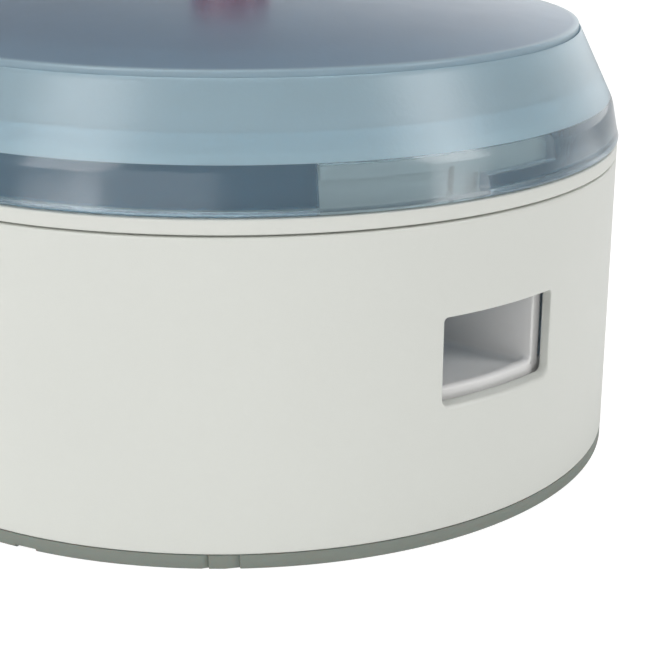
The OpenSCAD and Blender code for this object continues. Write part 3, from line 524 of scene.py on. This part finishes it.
def makeLid():
    s = lidSize
    angles = nearAngles(s["columns"], [channel["entryFrom"], channel["entryTo"], channel["legTo"]])
    extra = [channel["legTo"] - channel["roundSpan"] + 0.2 * i for i in range(channel["roundSteps"])]
    for turn in range(repeats):
        angles += [(a + 360 * turn / repeats) % 360 for a in extra]
    piece = revolved("lidSkin", lidSection, sorted(set(angles)), lidFrosted, 30)
    piece.data.materials.append(lidClear)
    piece.data.materials.append(lidThick)
    clear, thick = 1, 2  # slots after the frosted one
    for face in piece.data.polygons:  # clear over the lock, darker where the wall is thick
        z = face.center.z / mm
        r = math.hypot(face.center.x, face.center.y) / mm
        if z < s["lockTop"] + 0.05 and r < lidOuter(z) - 0.6:
            face.material_index = thick if r < s["thickR"] + 0.2 else clear
        elif z < s["clearTop"] and r > s["plugR"]:
            face.material_index = clear
    return piece


lidSkin = makeLid()
settle(lidSkin, "lid", "lid", "lid")
print("lid made")


foot = {"width": 5.5, "inset": 0.05, "edge": 0.8, "holdRow": 0.6, "topEdge": 0.5, "notchAt": -66.0,
        "notchSpan": 3.1, "notchHeight": 0.7, "tabAt": -39.1, "tabSpan": 4.0, "seam": 0.16,
        "seamDepth": 0.6, "columns": 240}


def footSection(phi):
    r, edge, top = drum["radius"] - foot["inset"], foot["edge"], drum["footTop"]
    low = foot["notchHeight"] if abs(foldedAngle(phi - foot["notchAt"])) < foot["notchSpan"] / 2 else 0.0
    fromTab = abs(foldedAngle(phi - foot["tabAt"]))
    pulled = foot["seamDepth"] if abs(fromTab - foot["tabSpan"] / 2) < foot["seam"] / 2 else 0.0
    inn = r - foot["width"]
    section = [(inn, low), (r - edge - foot["holdRow"], low)]
    section += [(x - pulled, z + low * 0.6) for x, z in arc(r - edge, edge, edge, -90, 0, 5)]
    section += [(r - pulled, top - foot["topEdge"]), (r - pulled - 0.15, top - 0.1)]
    return section + [(r - 0.6, top), (inn, top)]


def makeFoot():
    marks = []
    for side in (-1, 1):
        marks.append(foot["notchAt"] + side * foot["notchSpan"] / 2)
        for edge in (-1, 1):
            marks.append(foot["tabAt"] + side * foot["tabSpan"] / 2 + edge * foot["seam"] / 2)
    return revolved("footSkin", footSection, nearAngles(foot["columns"], marks), footRubber, 50)


footSkin = makeFoot()
settle(footSkin, "base", "rubber", "foot_ring")
print("foot made")


def buttonSection(phi):  # the same at every angle
    b = button
    r, wall, edge, lowEdge, inner = b["radius"], b["wall"], b["edge"], b["lowEdge"], b["innerEdge"]
    curve = (r * r + b["dome"] ** 2) / (2 * b["dome"])
    centre = b["sideTop"] + b["dome"] - curve
    edgeR = r - edge
    edgeZ = math.sqrt((curve - edge) ** 2 - edgeR ** 2)
    edgeTo = math.degrees(math.atan2(edgeZ, edgeR))
    section = [(r - wall, b["low"] + inner), (r - wall + inner, b["low"])]
    section += arc(r - lowEdge, b["low"] + lowEdge, lowEdge, -90, 0, 4)
    section += [(r, b["low"] + b["holdRow"]), (r, centre + edgeZ - b["holdRow"])]
    section += arc(edgeR, centre + edgeZ, edge, 0, edgeTo, 8)
    domes = arc(0, centre, curve, edgeTo + 1.5, 90, 16) + arc(0, centre, curve - wall, 90, edgeTo + 1.5, 10)
    section += [(max(x, b["pole"]), z) for x, z in domes]
    return section + arc(edgeR, centre + edgeZ, edge - wall, edgeTo, 0, 3)


buttonSkin = revolved("buttonSkin", buttonSection, evenAngles(button["columns"]), redPlastic, 60)
settle(buttonSkin, "button", "button", "button_cap")
print("button made")


def makeRingTree():  # sets copies of a seed form round the spindle
    tree = bpy.data.node_groups.new("copiesRound", "GeometryNodeTree")
    newSockets(
        tree,
        [("Geometry", "Geometry"), ("Count", "Int", 6), ("Turn Step", "Float", 1.0),
         ("First Turn", "Float", 0.0), ("Pitch Radius", "Float", 0.0), ("Height", "Float", 0.0),
         ("Join Distance", "Float", 0.000002), ("Material", "Material")],
        [("Geometry", "Geometry")])
    inside = newNode(tree, "NodeGroupInput")
    outside = newNode(tree, "NodeGroupOutput")
    number = newNode(tree, "GeometryNodeInputIndex")
    turn = newNode(tree, "ShaderNodeMath", operation="MULTIPLY_ADD")
    link(tree, number, "Index", turn, 0)
    link(tree, inside, "Turn Step", turn, 1)
    link(tree, inside, "First Turn", turn, 2)
    back = newNode(tree, "ShaderNodeMath", {1: -1}, operation="MULTIPLY")
    link(tree, inside, "Pitch Radius", back, 0)
    away = newNode(tree, "ShaderNodeCombineXYZ")
    link(tree, back, 0, away, "Y")
    link(tree, inside, "Height", away, "Z")
    placed = newNode(tree, "GeometryNodeTransform")
    link(tree, inside, "Geometry", placed, "Geometry")
    link(tree, away, "Vector", placed, "Translation")
    points = newNode(tree, "GeometryNodePoints")
    link(tree, inside, "Count", points, "Count")
    spin = newNode(tree, "ShaderNodeCombineXYZ")
    link(tree, turn, 0, spin, "Z")
    copies = newNode(tree, "GeometryNodeInstanceOnPoints")
    link(tree, points, 0, copies, "Points")
    link(tree, placed, "Geometry", copies, "Instance")
    link(tree, spin, "Vector", copies, "Rotation")
    whole = newNode(tree, "GeometryNodeRealizeInstances")
    link(tree, copies, "Instances", whole, "Geometry")
    joined = newNode(tree, "GeometryNodeMergeByDistance")
    link(tree, whole, "Geometry", joined, "Geometry")
    link(tree, inside, "Join Distance", joined, "Distance")
    dressed = newNode(tree, "GeometryNodeSetMaterial")
    link(tree, joined, "Geometry", dressed, "Geometry")
    link(tree, inside, "Material", dressed, "Material")
    link(tree, dressed, "Geometry", outside, "Geometry")
    return tree


ringTree = makeRingTree()


def grown(name, seed, tree, values, material, sharpAngle=40):  # the tree's result as one plain mesh
    modifier = seed.modifiers.new("shape", "NODES")
    modifier.node_group = tree
    values = dict(values, Material=material)
    for item in tree.interface.items_tree:
        if item.item_type == "SOCKET" and item.in_out == "INPUT" and item.name in values:
            modifier[item.identifier] = values[item.name]
    graph = bpy.context.evaluated_depsgraph_get()
    mesh = bpy.data.meshes.new_from_object(seed.evaluated_get(graph), depsgraph=graph)
    mesh.name = name
    seed.modifiers.clear()
    bpy.data.objects.remove(seed)
    return finished(name, mesh, sharpAngle)


tray = {"count": 18, "bore": 12.0, "low": 31.0, "floor": 33.6, "radius": 91.3, "hubIn": 21.0,
        "hubRoot": 0.8, "hubTop": 63.0, "hubEdge": 0.4, "wallTop": 68.5, "wallHub": 1.8, "wallRim": 3.2,
        "wallFrom": 23.5, "root": 1.2, "wallEdge": 0.5, "endEdge": 0.35, "lipWidth": 3.1,
        "lipHeight": 1.2, "ribIn": 44.0, "ribOut": 50.0, "ribLow": 29.4, "pocket": 2.0, "pocketZ": 29.0}
# the sector's rows and columns: radius, height and root at the hub, radius, drop and shrink at the lip
trayGrid = {"columns": (2.4, 1.9, 1.2, 0.0), "hubRows": ((23.65, 63.0), (23.9, 62.85), (24.0, 62.5)),
            "draftRows": ((24.2, 36.0, 0.2), (24.5, 34.9, 0.4), (25.1, 34.1, 0.9), (25.9, 33.7, 1.6)),
            "floorRows": (27.0, 34.0, 44.0, 54.0, 64.0, 74.0, 84.0, 87.9),
            "lipRows": ((90.95, 0.25, 0.0), (91.17, 0.48, 0.07), (91.27, 0.62, 0.17)),
            "halfShares": (0, 0.16, 0.32, 0.46, 0.6, 0.74, 0.87),
            "rootShares": (0.0, 0.1, 0.25, 0.45, 0.7, 1.0)}


def trayHalf(r):  # half a wall's thickness
    share = (r - tray["wallFrom"]) / (tray["radius"] - tray["wallFrom"])
    return (tray["wallHub"] + (tray["wallRim"] - tray["wallHub"]) * share) / 2


def trayRow(r, z, wall, root=0.2, shrink=0.0):  # half a row: place across in degrees and height
    scale = max(r, tray["wallFrom"])
    half = trayHalf(scale) - shrink
    top, edge = tray["wallTop"] - shrink, tray["wallEdge"]
    if wall:
        across = [(0, top), (half - edge, top)] + arc(half - edge, top - edge, edge, 60, 0, 2)
        across += [(half, top - edge - 0.7), (half, z + root + 0.6)]
        across += arc(half + root, z + root, root, 180, 270, 5)
    else:
        across = [(half * share, z) for share in trayGrid["halfShares"]]
        across += [(half + root * share, z) for share in trayGrid["rootShares"]]
    row = [(180 / tray["count"] - math.degrees(math.asin(x / scale)), y) for x, y in across]
    return row + [(phi, z) for phi in trayGrid["columns"]]


def trayTop():  # rows from the bore over the hub, the floor and the lip to the rim
    t, g, root = tray, trayGrid, tray["root"]
    inR, hubRoot, hubEdge = t["hubIn"], t["hubRoot"], t["hubEdge"]
    hub = [(t["bore"], t["low"]), (t["bore"], t["floor"]), (16.0, t["floor"]), (inR - hubRoot, t["floor"])]
    hub += arc(inR - hubRoot, t["floor"] + hubRoot, hubRoot, -60, 0, 2)
    hub += [(inR, t["hubTop"] - hubEdge), (inR + hubEdge, t["hubTop"])]
    hub += [(t["wallFrom"] - 0.3, t["hubTop"]), (t["wallFrom"], t["hubTop"])]
    rows = [(r, trayRow(t["wallFrom"], z, False)) for r, z in hub]
    rows += [(t["wallFrom"], trayRow(t["wallFrom"], t["hubTop"], True, 0.2, 0.1))]
    rows += [(r, trayRow(r, z, True)) for r, z in g["hubRows"]]
    rows += [(r, trayRow(r, z, True, draft)) for r, z, draft in g["draftRows"]]
    rows += [(r, trayRow(r, t["floor"], True, root)) for r in g["floorRows"]]
    lipIn, lipTop = t["radius"] - t["lipWidth"], t["floor"] + t["lipHeight"]
    lip = [(lipIn, t["floor"] + 0.01), (lipIn + 0.1, t["floor"] + 0.06), (lipIn + 1.1, lipTop - 0.12)]
    lip += [(lipIn + 1.2, lipTop - 0.04), (lipIn + 1.35, lipTop), (90.4, lipTop), (90.7, lipTop - 0.08)]
    rows += [(r, trayRow(r, z, True, root)) for r, z in lip]
    rows += [(r, trayRow(r, lipTop - drop, True, root, shrink)) for r, drop, shrink in g["lipRows"]]
    for inset in (0.0, 0.1):
        end = trayRow(t["radius"], lipTop - 0.8 - inset, True, root, t["endEdge"] + inset)
        rows.append((t["radius"], end))
    return rows + [(t["radius"], trayRow(t["radius"], lipTop - 1.0, False, root))]


def trayUnder():  # rows from the rim over the ring with the detent's pockets back to the bore
    t, root = tray, tray["root"]
    rim = [(t["radius"], t["low"] + 0.5), (t["radius"] - 0.4, t["low"]), (70.0, t["low"])]
    rim += [(t["ribOut"] + 0.5, t["low"]), (t["ribOut"], t["low"])]
    rows = [(r, trayRow(t["radius"], z, False, root)) for r, z in rim]
    for r in (t["ribOut"], t["ribOut"] - 0.3, t["ribIn"] + 0.3, t["ribIn"]):
        row = trayRow(t["radius"], t["ribLow"], False, root)
        for i in range(len(row) - len(trayGrid["columns"]), len(row)):
            off = math.radians(row[i][0]) * (t["ribIn"] + t["ribOut"]) / 2
            high = t["pocketZ"] + math.sqrt(max(0.0, t["pocket"] ** 2 - off ** 2))
            row[i] = (row[i][0], min(max(high, t["ribLow"]), t["low"] - 0.02))
        rows.append((r, row))
    inner = (t["ribIn"], t["ribIn"] - 0.5, 20.0)
    return rows + [(r, trayRow(t["radius"], t["low"], False, root)) for r in inner]


def makeTray():  # one sector, mirrored across its middle, then copied round by the tree
    verts, faces = [], []
    rows = trayTop() + trayUnder()
    for r, half in rows:
        whole = half + [(-phi, z) for phi, z in reversed(half[:-1])]
        verts += [polar(phi, r, z) for phi, z in whole]
    size = len(verts) // len(rows)
    for i in range(len(rows)):
        k = (i + 1) % len(rows)
        for j in range(size - 1):
            faces.append((i * size + j, k * size + j, k * size + j + 1, i * size + j + 1))
    seed = meshPiece("traySeed", verts, faces, trayPlastic)
    values = {"Count": tray["count"], "Turn Step": 2 * math.pi / tray["count"]}
    return grown("traySkin", seed, ringTree, values, trayPlastic, 35)


traySkin = makeTray()
settle(traySkin, "carousel", "tray", "carousel")
print("tray made")


screw = {"shank": 1.3, "root": 1.0, "pitch": 0.9, "rowsPerPitch": 4, "threadFrom": 0.3, "tip": 0.9,
         "tipR": 0.05, "head": 2.8, "headHeight": 1.6, "recess": 0.8, "arm": 1.5, "armHalf": 0.3,
         "armRoot": 0.85, "quarter": (0, 12, 28, 45, 62, 78)}
# pitch is the radius of the screws' circle, first in degrees, under the height of the head's underside
screwSets = {
    "base_screws": {"pitch": 82.0, "first": 30, "count": 6, "under": 3.2, "length": 11.0,
                    "headUp": False, "body": "base"},
    "deck_screws": {"pitch": 82.0, "first": 30, "count": 6, "under": 28.0, "length": 5.5,
                    "headUp": True, "body": "base"},
    "spindle_screws": {"pitch": 11.5, "first": 0, "count": 3, "under": 3.4, "length": 4.9,
                       "headUp": False, "body": "base"},
    "guide_screws": {"pitch": 19.86, "first": 90, "count": 3, "under": 84.6, "length": 11.0,
                     "headUp": False, "body": "lid"},
    "stem_screw": {"pitch": 0.0, "first": 0, "count": 1, "under": 109.0, "length": 11.0,
                   "headUp": False, "body": "button"},
}


def turnedRow(turns, radii, z):
    return [(r * math.cos(math.radians(a)), r * math.sin(math.radians(a)), z) for a, r in zip(turns, radii)]


def crossOutline():  # the recess, point for point against the turned rows
    end, half, root = screw["arm"], screw["armHalf"], screw["armRoot"]
    arm = ((end, 0), (end - 0.05, half), (root, half), (half, half), (half, root), (half, end - 0.05))
    return [Matrix.Rotation(math.radians(90 * q), 2) @ Vector(point) for q in range(4) for point in arm]


def screwSeed(length, headUp):  # pan head, cross recess and cut thread, head's underside at z = 0
    s, h = screw, screw["headHeight"]
    turns = [q * 90 + a for q in range(4) for a in s["quarter"]]
    count = len(turns)
    rows = [turnedRow(turns, [s["tipR"]] * count, length)]
    steps = int(length / (s["pitch"] / s["rowsPerPitch"]))
    for i in range(steps, 0, -1):
        z = s["threadFrom"] + (length - s["tip"] - s["threadFrom"]) * i / steps
        waves = [abs(((z / s["pitch"] - a / 360) % 1) - 0.5) * 2 for a in turns]
        rows.append(turnedRow(turns, [s["root"] + (s["shank"] - s["root"]) * wave ** 2 for wave in waves], z))
    pan = [(s["shank"], 0.1), (s["shank"] + 0.2, 0), (s["head"] - 0.2, 0), (s["head"], -0.2)]
    pan += [(s["head"], -h + 0.7), (s["head"] - 0.25, -h + 0.25), (s["head"] - 0.7, -h + 0.02), (1.75, -h)]
    rows += [turnedRow(turns, [r] * count, z) for r, z in pan]
    cross = crossOutline()
    for size, z in ((1.0, -h), (0.97, -h + 0.06), (0.9, -h + s["recess"]), (0.02, -h + s["recess"])):
        rows.append([(p.x * size, p.y * size, z) for p in cross])
    tilt = -1 if headUp else 1
    verts = [(x * tilt * mm, y * mm, z * tilt * mm) for row in rows for x, y, z in row]
    faces = []
    for i in range(len(rows) - 1):
        for j in range(count):
            k = (j + 1) % count
            faces.append((i * count + j, i * count + k, (i + 1) * count + k, (i + 1) * count + j))
    faces.append(tuple(range(count - 1, -1, -1)))
    faces.append(tuple((len(rows) - 1) * count + j for j in range(count)))
    return meshPiece("screwSeed", verts, faces, platedSteel)


def makeScrews():
    for node, part in screwSets.items():
        values = {"Count": part["count"], "Turn Step": 2 * math.pi / part["count"],
                  "First Turn": math.radians(part["first"]), "Pitch Radius": part["pitch"] * mm,
                  "Height": part["under"] * mm}
        name = node.replace("_screw", "Screw") + "Skin"
        piece = grown(name, screwSeed(part["length"], part["headUp"]), ringTree, values, platedSteel)
        settle(piece, part["body"], "steel", node)


makeScrews()
print("screws made")


springs = {
    "return_spring": {"wire": 0.5, "radius": 4.9, "low": 8.47, "top": 37.63, "curls": 9.0,
                      "body": "base", "joint": "plunger_press"},
    "button_spring": {"wire": 0.5, "radius": 6.8, "low": 87.07, "top": 109.93, "curls": 5.0,
                      "body": "lid", "joint": "button_press"},
}
springShape = {"stepsPerCurl": 28, "wireSides": 10, "stroke": 10.0}


def makeSpringTree():  # a coil round the spindle's axis, swept with a round wire
    tree = bpy.data.node_groups.new("coiledWire", "GeometryNodeTree")
    newSockets(
        tree,
        [("Curls", "Float", 5.0), ("Steps", "Int", 28), ("Coil Radius", "Float", 0.005),
         ("Length", "Float", 0.02), ("Foot", "Float", 0.0), ("Wire Radius", "Float", 0.0005),
         ("Wire Sides", "Int", 10), ("Material", "Material")],
        [("Geometry", "Geometry")])
    inside = newNode(tree, "NodeGroupInput")
    outside = newNode(tree, "NodeGroupOutput")
    coil = newNode(tree, "GeometryNodeCurveSpiral")
    link(tree, inside, "Steps", coil, "Resolution")
    link(tree, inside, "Curls", coil, "Rotations")
    link(tree, inside, "Coil Radius", coil, "Start Radius")
    link(tree, inside, "Coil Radius", coil, "End Radius")
    link(tree, inside, "Length", coil, "Height")
    lift = newNode(tree, "ShaderNodeCombineXYZ")
    link(tree, inside, "Foot", lift, "Z")
    placed = newNode(tree, "GeometryNodeTransform")
    link(tree, coil, "Curve", placed, "Geometry")
    link(tree, lift, "Vector", placed, "Translation")
    wire = newNode(tree, "GeometryNodeCurvePrimitiveCircle")
    link(tree, inside, "Wire Sides", wire, "Resolution")
    link(tree, inside, "Wire Radius", wire, "Radius")
    swept = newNode(tree, "GeometryNodeCurveToMesh", {"Fill Caps": True})
    link(tree, placed, "Geometry", swept, "Curve")
    link(tree, wire, "Curve", swept, "Profile Curve")
    whole = newNode(tree, "GeometryNodeRealizeInstances")
    link(tree, swept, "Mesh", whole, "Geometry")
    dressed = newNode(tree, "GeometryNodeSetMaterial")
    link(tree, whole, "Geometry", dressed, "Geometry")
    link(tree, inside, "Material", dressed, "Material")
    link(tree, dressed, "Geometry", outside, "Geometry")
    return tree


springTree = makeSpringTree()


def makeSprings():  # each coiled round the axis between its foot and its top
    for node, part in springs.items():
        low, wire, height = part["low"], part["wire"], part["top"] - part["low"]
        values = {"Curls": part["curls"], "Steps": springShape["stepsPerCurl"],
                  "Coil Radius": part["radius"] * mm, "Length": (height - 2 * wire) * mm,
                  "Foot": (low + wire) * mm, "Wire Radius": wire * mm,
                  "Wire Sides": springShape["wireSides"]}
        seed = bpy.data.objects.new("springSeed", bpy.data.meshes.new("springSeed"))
        bpy.context.scene.collection.objects.link(seed)
        piece = grown(node.replace("_spring", "Spring") + "Skin", seed, springTree, values, platedSteel, 60)
        settle(piece, part["body"], "steel", node)
        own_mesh(piece)


makeSprings()
print("springs made")


# finishes of the nodes that keep their own form, steel where none is named
plain = {
    "deck_plate": trayPlastic, "hub_cover": trayPlastic,
    "base_plate": shellPlastic, "lid_seal": sealRubber, "button_guide": guidePlastic,
    "spindle": bearingPlastic, "ratchet_ring": bearingPlastic, "carousel_bush": bearingPlastic,
    "drive_sleeve": bearingPlastic, "pawl_ring": bearingPlastic, "plunger": bearingPlastic,
    "button_stem": bearingPlastic,
}
for name, node in nodes.items():
    node.data.materials.clear()
    node.data.materials.append(plain.get(name, platedSteel))
print("inner pieces dressed")


# glow keeps the underside from going black, seenGlow and seenShare whiten the floor for the camera
floorLook = {"size": 6, "level": -0.0001, "color": (0.86, 0.86, 0.86), "roughness": 0.9, "glow": 0.16,
             "seenGlow": 1.25, "seenShare": 0.7}


def makeFloor():
    bpy.ops.mesh.primitive_plane_add(size=floorLook["size"], location=(0, 0, floorLook["level"]))
    floor = bpy.context.object
    floor.name = "floor"
    material = bpy.data.materials.new("paleFloor")
    material.use_nodes = True
    tree = material.node_tree
    shader = tree.nodes["Principled BSDF"]
    shader.inputs["Base Color"].default_value = (*floorLook["color"], 1)
    shader.inputs["Roughness"].default_value = floorLook["roughness"]
    shader.inputs["Emission Color"].default_value = (1, 1, 1, 1)
    shader.inputs["Emission Strength"].default_value = floorLook["glow"]
    glow = newNode(tree, "ShaderNodeEmission", {"Strength": floorLook["seenGlow"]})
    rays = newNode(tree, "ShaderNodeLightPath")
    share = newNode(tree, "ShaderNodeMath", {1: floorLook["seenShare"]}, operation="MULTIPLY")
    link(tree, rays, "Is Camera Ray", share, 0)
    mix = newNode(tree, "ShaderNodeMixShader")
    link(tree, share, 0, mix, "Fac")
    link(tree, shader, "BSDF", mix, 1)
    link(tree, glow, "Emission", mix, 2)
    side = newNode(tree, "ShaderNodeNewGeometry")
    clear = newNode(tree, "ShaderNodeBsdfTransparent")
    whole = newNode(tree, "ShaderNodeMixShader")  # seen through from below
    link(tree, side, "Backfacing", whole, "Fac")
    link(tree, mix, "Shader", whole, 1)
    link(tree, clear, "BSDF", whole, 2)
    link(tree, whole, "Shader", tree.nodes["Material Output"], "Surface")
    floor.data.materials.append(material)


# the room's strength, and the backdrop's with its direction in degrees and its soft borders
studio = {"base": 0.31, "backdrop": 1.6, "backTurn": 108, "backEdge": 0.68, "backCore": 0.99,
          "backTop": 0.62, "backFade": 0.45}


def makeWorld():  # white to the camera, elsewhere a bright backdrop behind and a dim room
    world = bpy.data.worlds.new("studio")
    bpy.context.scene.world = world
    world.use_nodes = True
    tree = world.node_tree
    back = tree.nodes["Background"]
    back.inputs["Color"].default_value = (1, 1, 1, 1)
    place = newNode(tree, "ShaderNodeTexCoord")
    parts = newNode(tree, "ShaderNodeSeparateXYZ")
    link(tree, place, "Generated", parts, "Vector")
    turn = math.radians(studio["backTurn"])
    behind = newNode(tree, "ShaderNodeVectorMath", operation="DOT_PRODUCT")
    behind.inputs[1].default_value = (math.sin(turn), -math.cos(turn), 0)
    link(tree, place, "Generated", behind, 0)
    side = smoothStep(tree, studio["backEdge"], studio["backCore"])
    link(tree, behind, "Value", side, "Value")
    height = smoothStep(tree, studio["backTop"], studio["backTop"] - studio["backFade"])
    link(tree, parts, "Z", height, "Value")
    both = newNode(tree, "ShaderNodeMath", operation="MULTIPLY")
    link(tree, side, "Result", both, 0)
    link(tree, height, "Result", both, 1)
    gain = {1: studio["backdrop"] - studio["base"], 2: studio["base"]}
    strength = newNode(tree, "ShaderNodeMath", gain, operation="MULTIPLY_ADD")
    link(tree, both, 0, strength, 0)
    link(tree, strength, 0, back, "Strength")
    seen = newNode(tree, "ShaderNodeBackground", {"Color": (1, 1, 1, 1), "Strength": 1.0})
    rays = newNode(tree, "ShaderNodeLightPath")
    mix = newNode(tree, "ShaderNodeMixShader")
    link(tree, rays, "Is Camera Ray", mix, "Fac")
    link(tree, back, "Background", mix, 1)
    link(tree, seen, "Background", mix, 2)
    link(tree, mix, "Shader", tree.nodes["World Output"], "Surface")


# places and sizes in metres, aim is a height on the spindle's axis
softBoxes = {
    "keyLeft": {"place": (-0.95, -0.09, 0.62), "aim": 0.05, "size": (0.45, 0.7), "power": 4.6},
    "keyRight": {"place": (0.46, -0.88, 0.55), "aim": 0.05, "size": (0.35, 0.6), "power": 3.9},
    "topFill": {"place": (-0.2, 0.1, 1.3), "aim": 0.08, "size": (0.8, 0.8), "power": 6},
    "frontFill": {"place": (-1.1, -0.6, 0.38), "aim": 0.05, "size": (0.9, 0.5), "power": 1.8},
}


def makeSoftBoxes():
    for name, box in softBoxes.items():
        light = bpy.data.lights.new(name, "AREA")
        light.shape = "RECTANGLE"
        light.size, light.size_y = box["size"]
        light.energy = box["power"]
        lamp = bpy.data.objects.new(name, light)
        bpy.context.scene.collection.objects.link(lamp)
        lamp.location = box["place"]
        ahead = Vector((0, 0, box["aim"])) - Vector(box["place"])
        lamp.rotation_euler = ahead.to_track_quat("-Z", "Y").to_euler()


# turn in degrees round the spindle, distance and height in drum radii, the other angles in radians
view = {"turn": -37.5, "distance": 4.4134, "height": 1.6877, "pitch": 0.3205, "yaw": 0.0610,
        "roll": 0.00886, "focalPixels": 1699.44, "imagePixels": 665, "sensor": 36}


def makeCamera():
    data = bpy.data.cameras.new("photoCamera")
    data.sensor_width = view["sensor"]
    data.lens = view["focalPixels"] / view["imagePixels"] * view["sensor"]
    camera = bpy.data.objects.new("photoCamera", data)
    bpy.context.scene.collection.objects.link(camera)
    yaw, pitch, roll = view["yaw"], view["pitch"], view["roll"]
    ahead = Vector((math.sin(yaw) * math.cos(pitch), math.cos(yaw) * math.cos(pitch), -math.sin(pitch)))
    level = Vector((math.cos(yaw), -math.sin(yaw), 0))
    over = level.cross(ahead)
    right = level * math.cos(roll) + over * math.sin(roll)
    up = over * math.cos(roll) - level * math.sin(roll)
    turn = Matrix.Rotation(math.radians(view["turn"]), 4, "Z")
    basis = Matrix((right, up, -ahead)).transposed().to_4x4()
    radius = drum["radius"] * mm
    place = Vector((0, -view["distance"] * radius, view["height"] * radius))
    camera.matrix_world = turn @ Matrix.Translation(place) @ basis
    bpy.context.scene.camera = camera


makeFloor()
makeWorld()
makeSoftBoxes()
makeCamera()
bpy.context.scene.view_settings.view_transform = "Standard"
print("stage set")
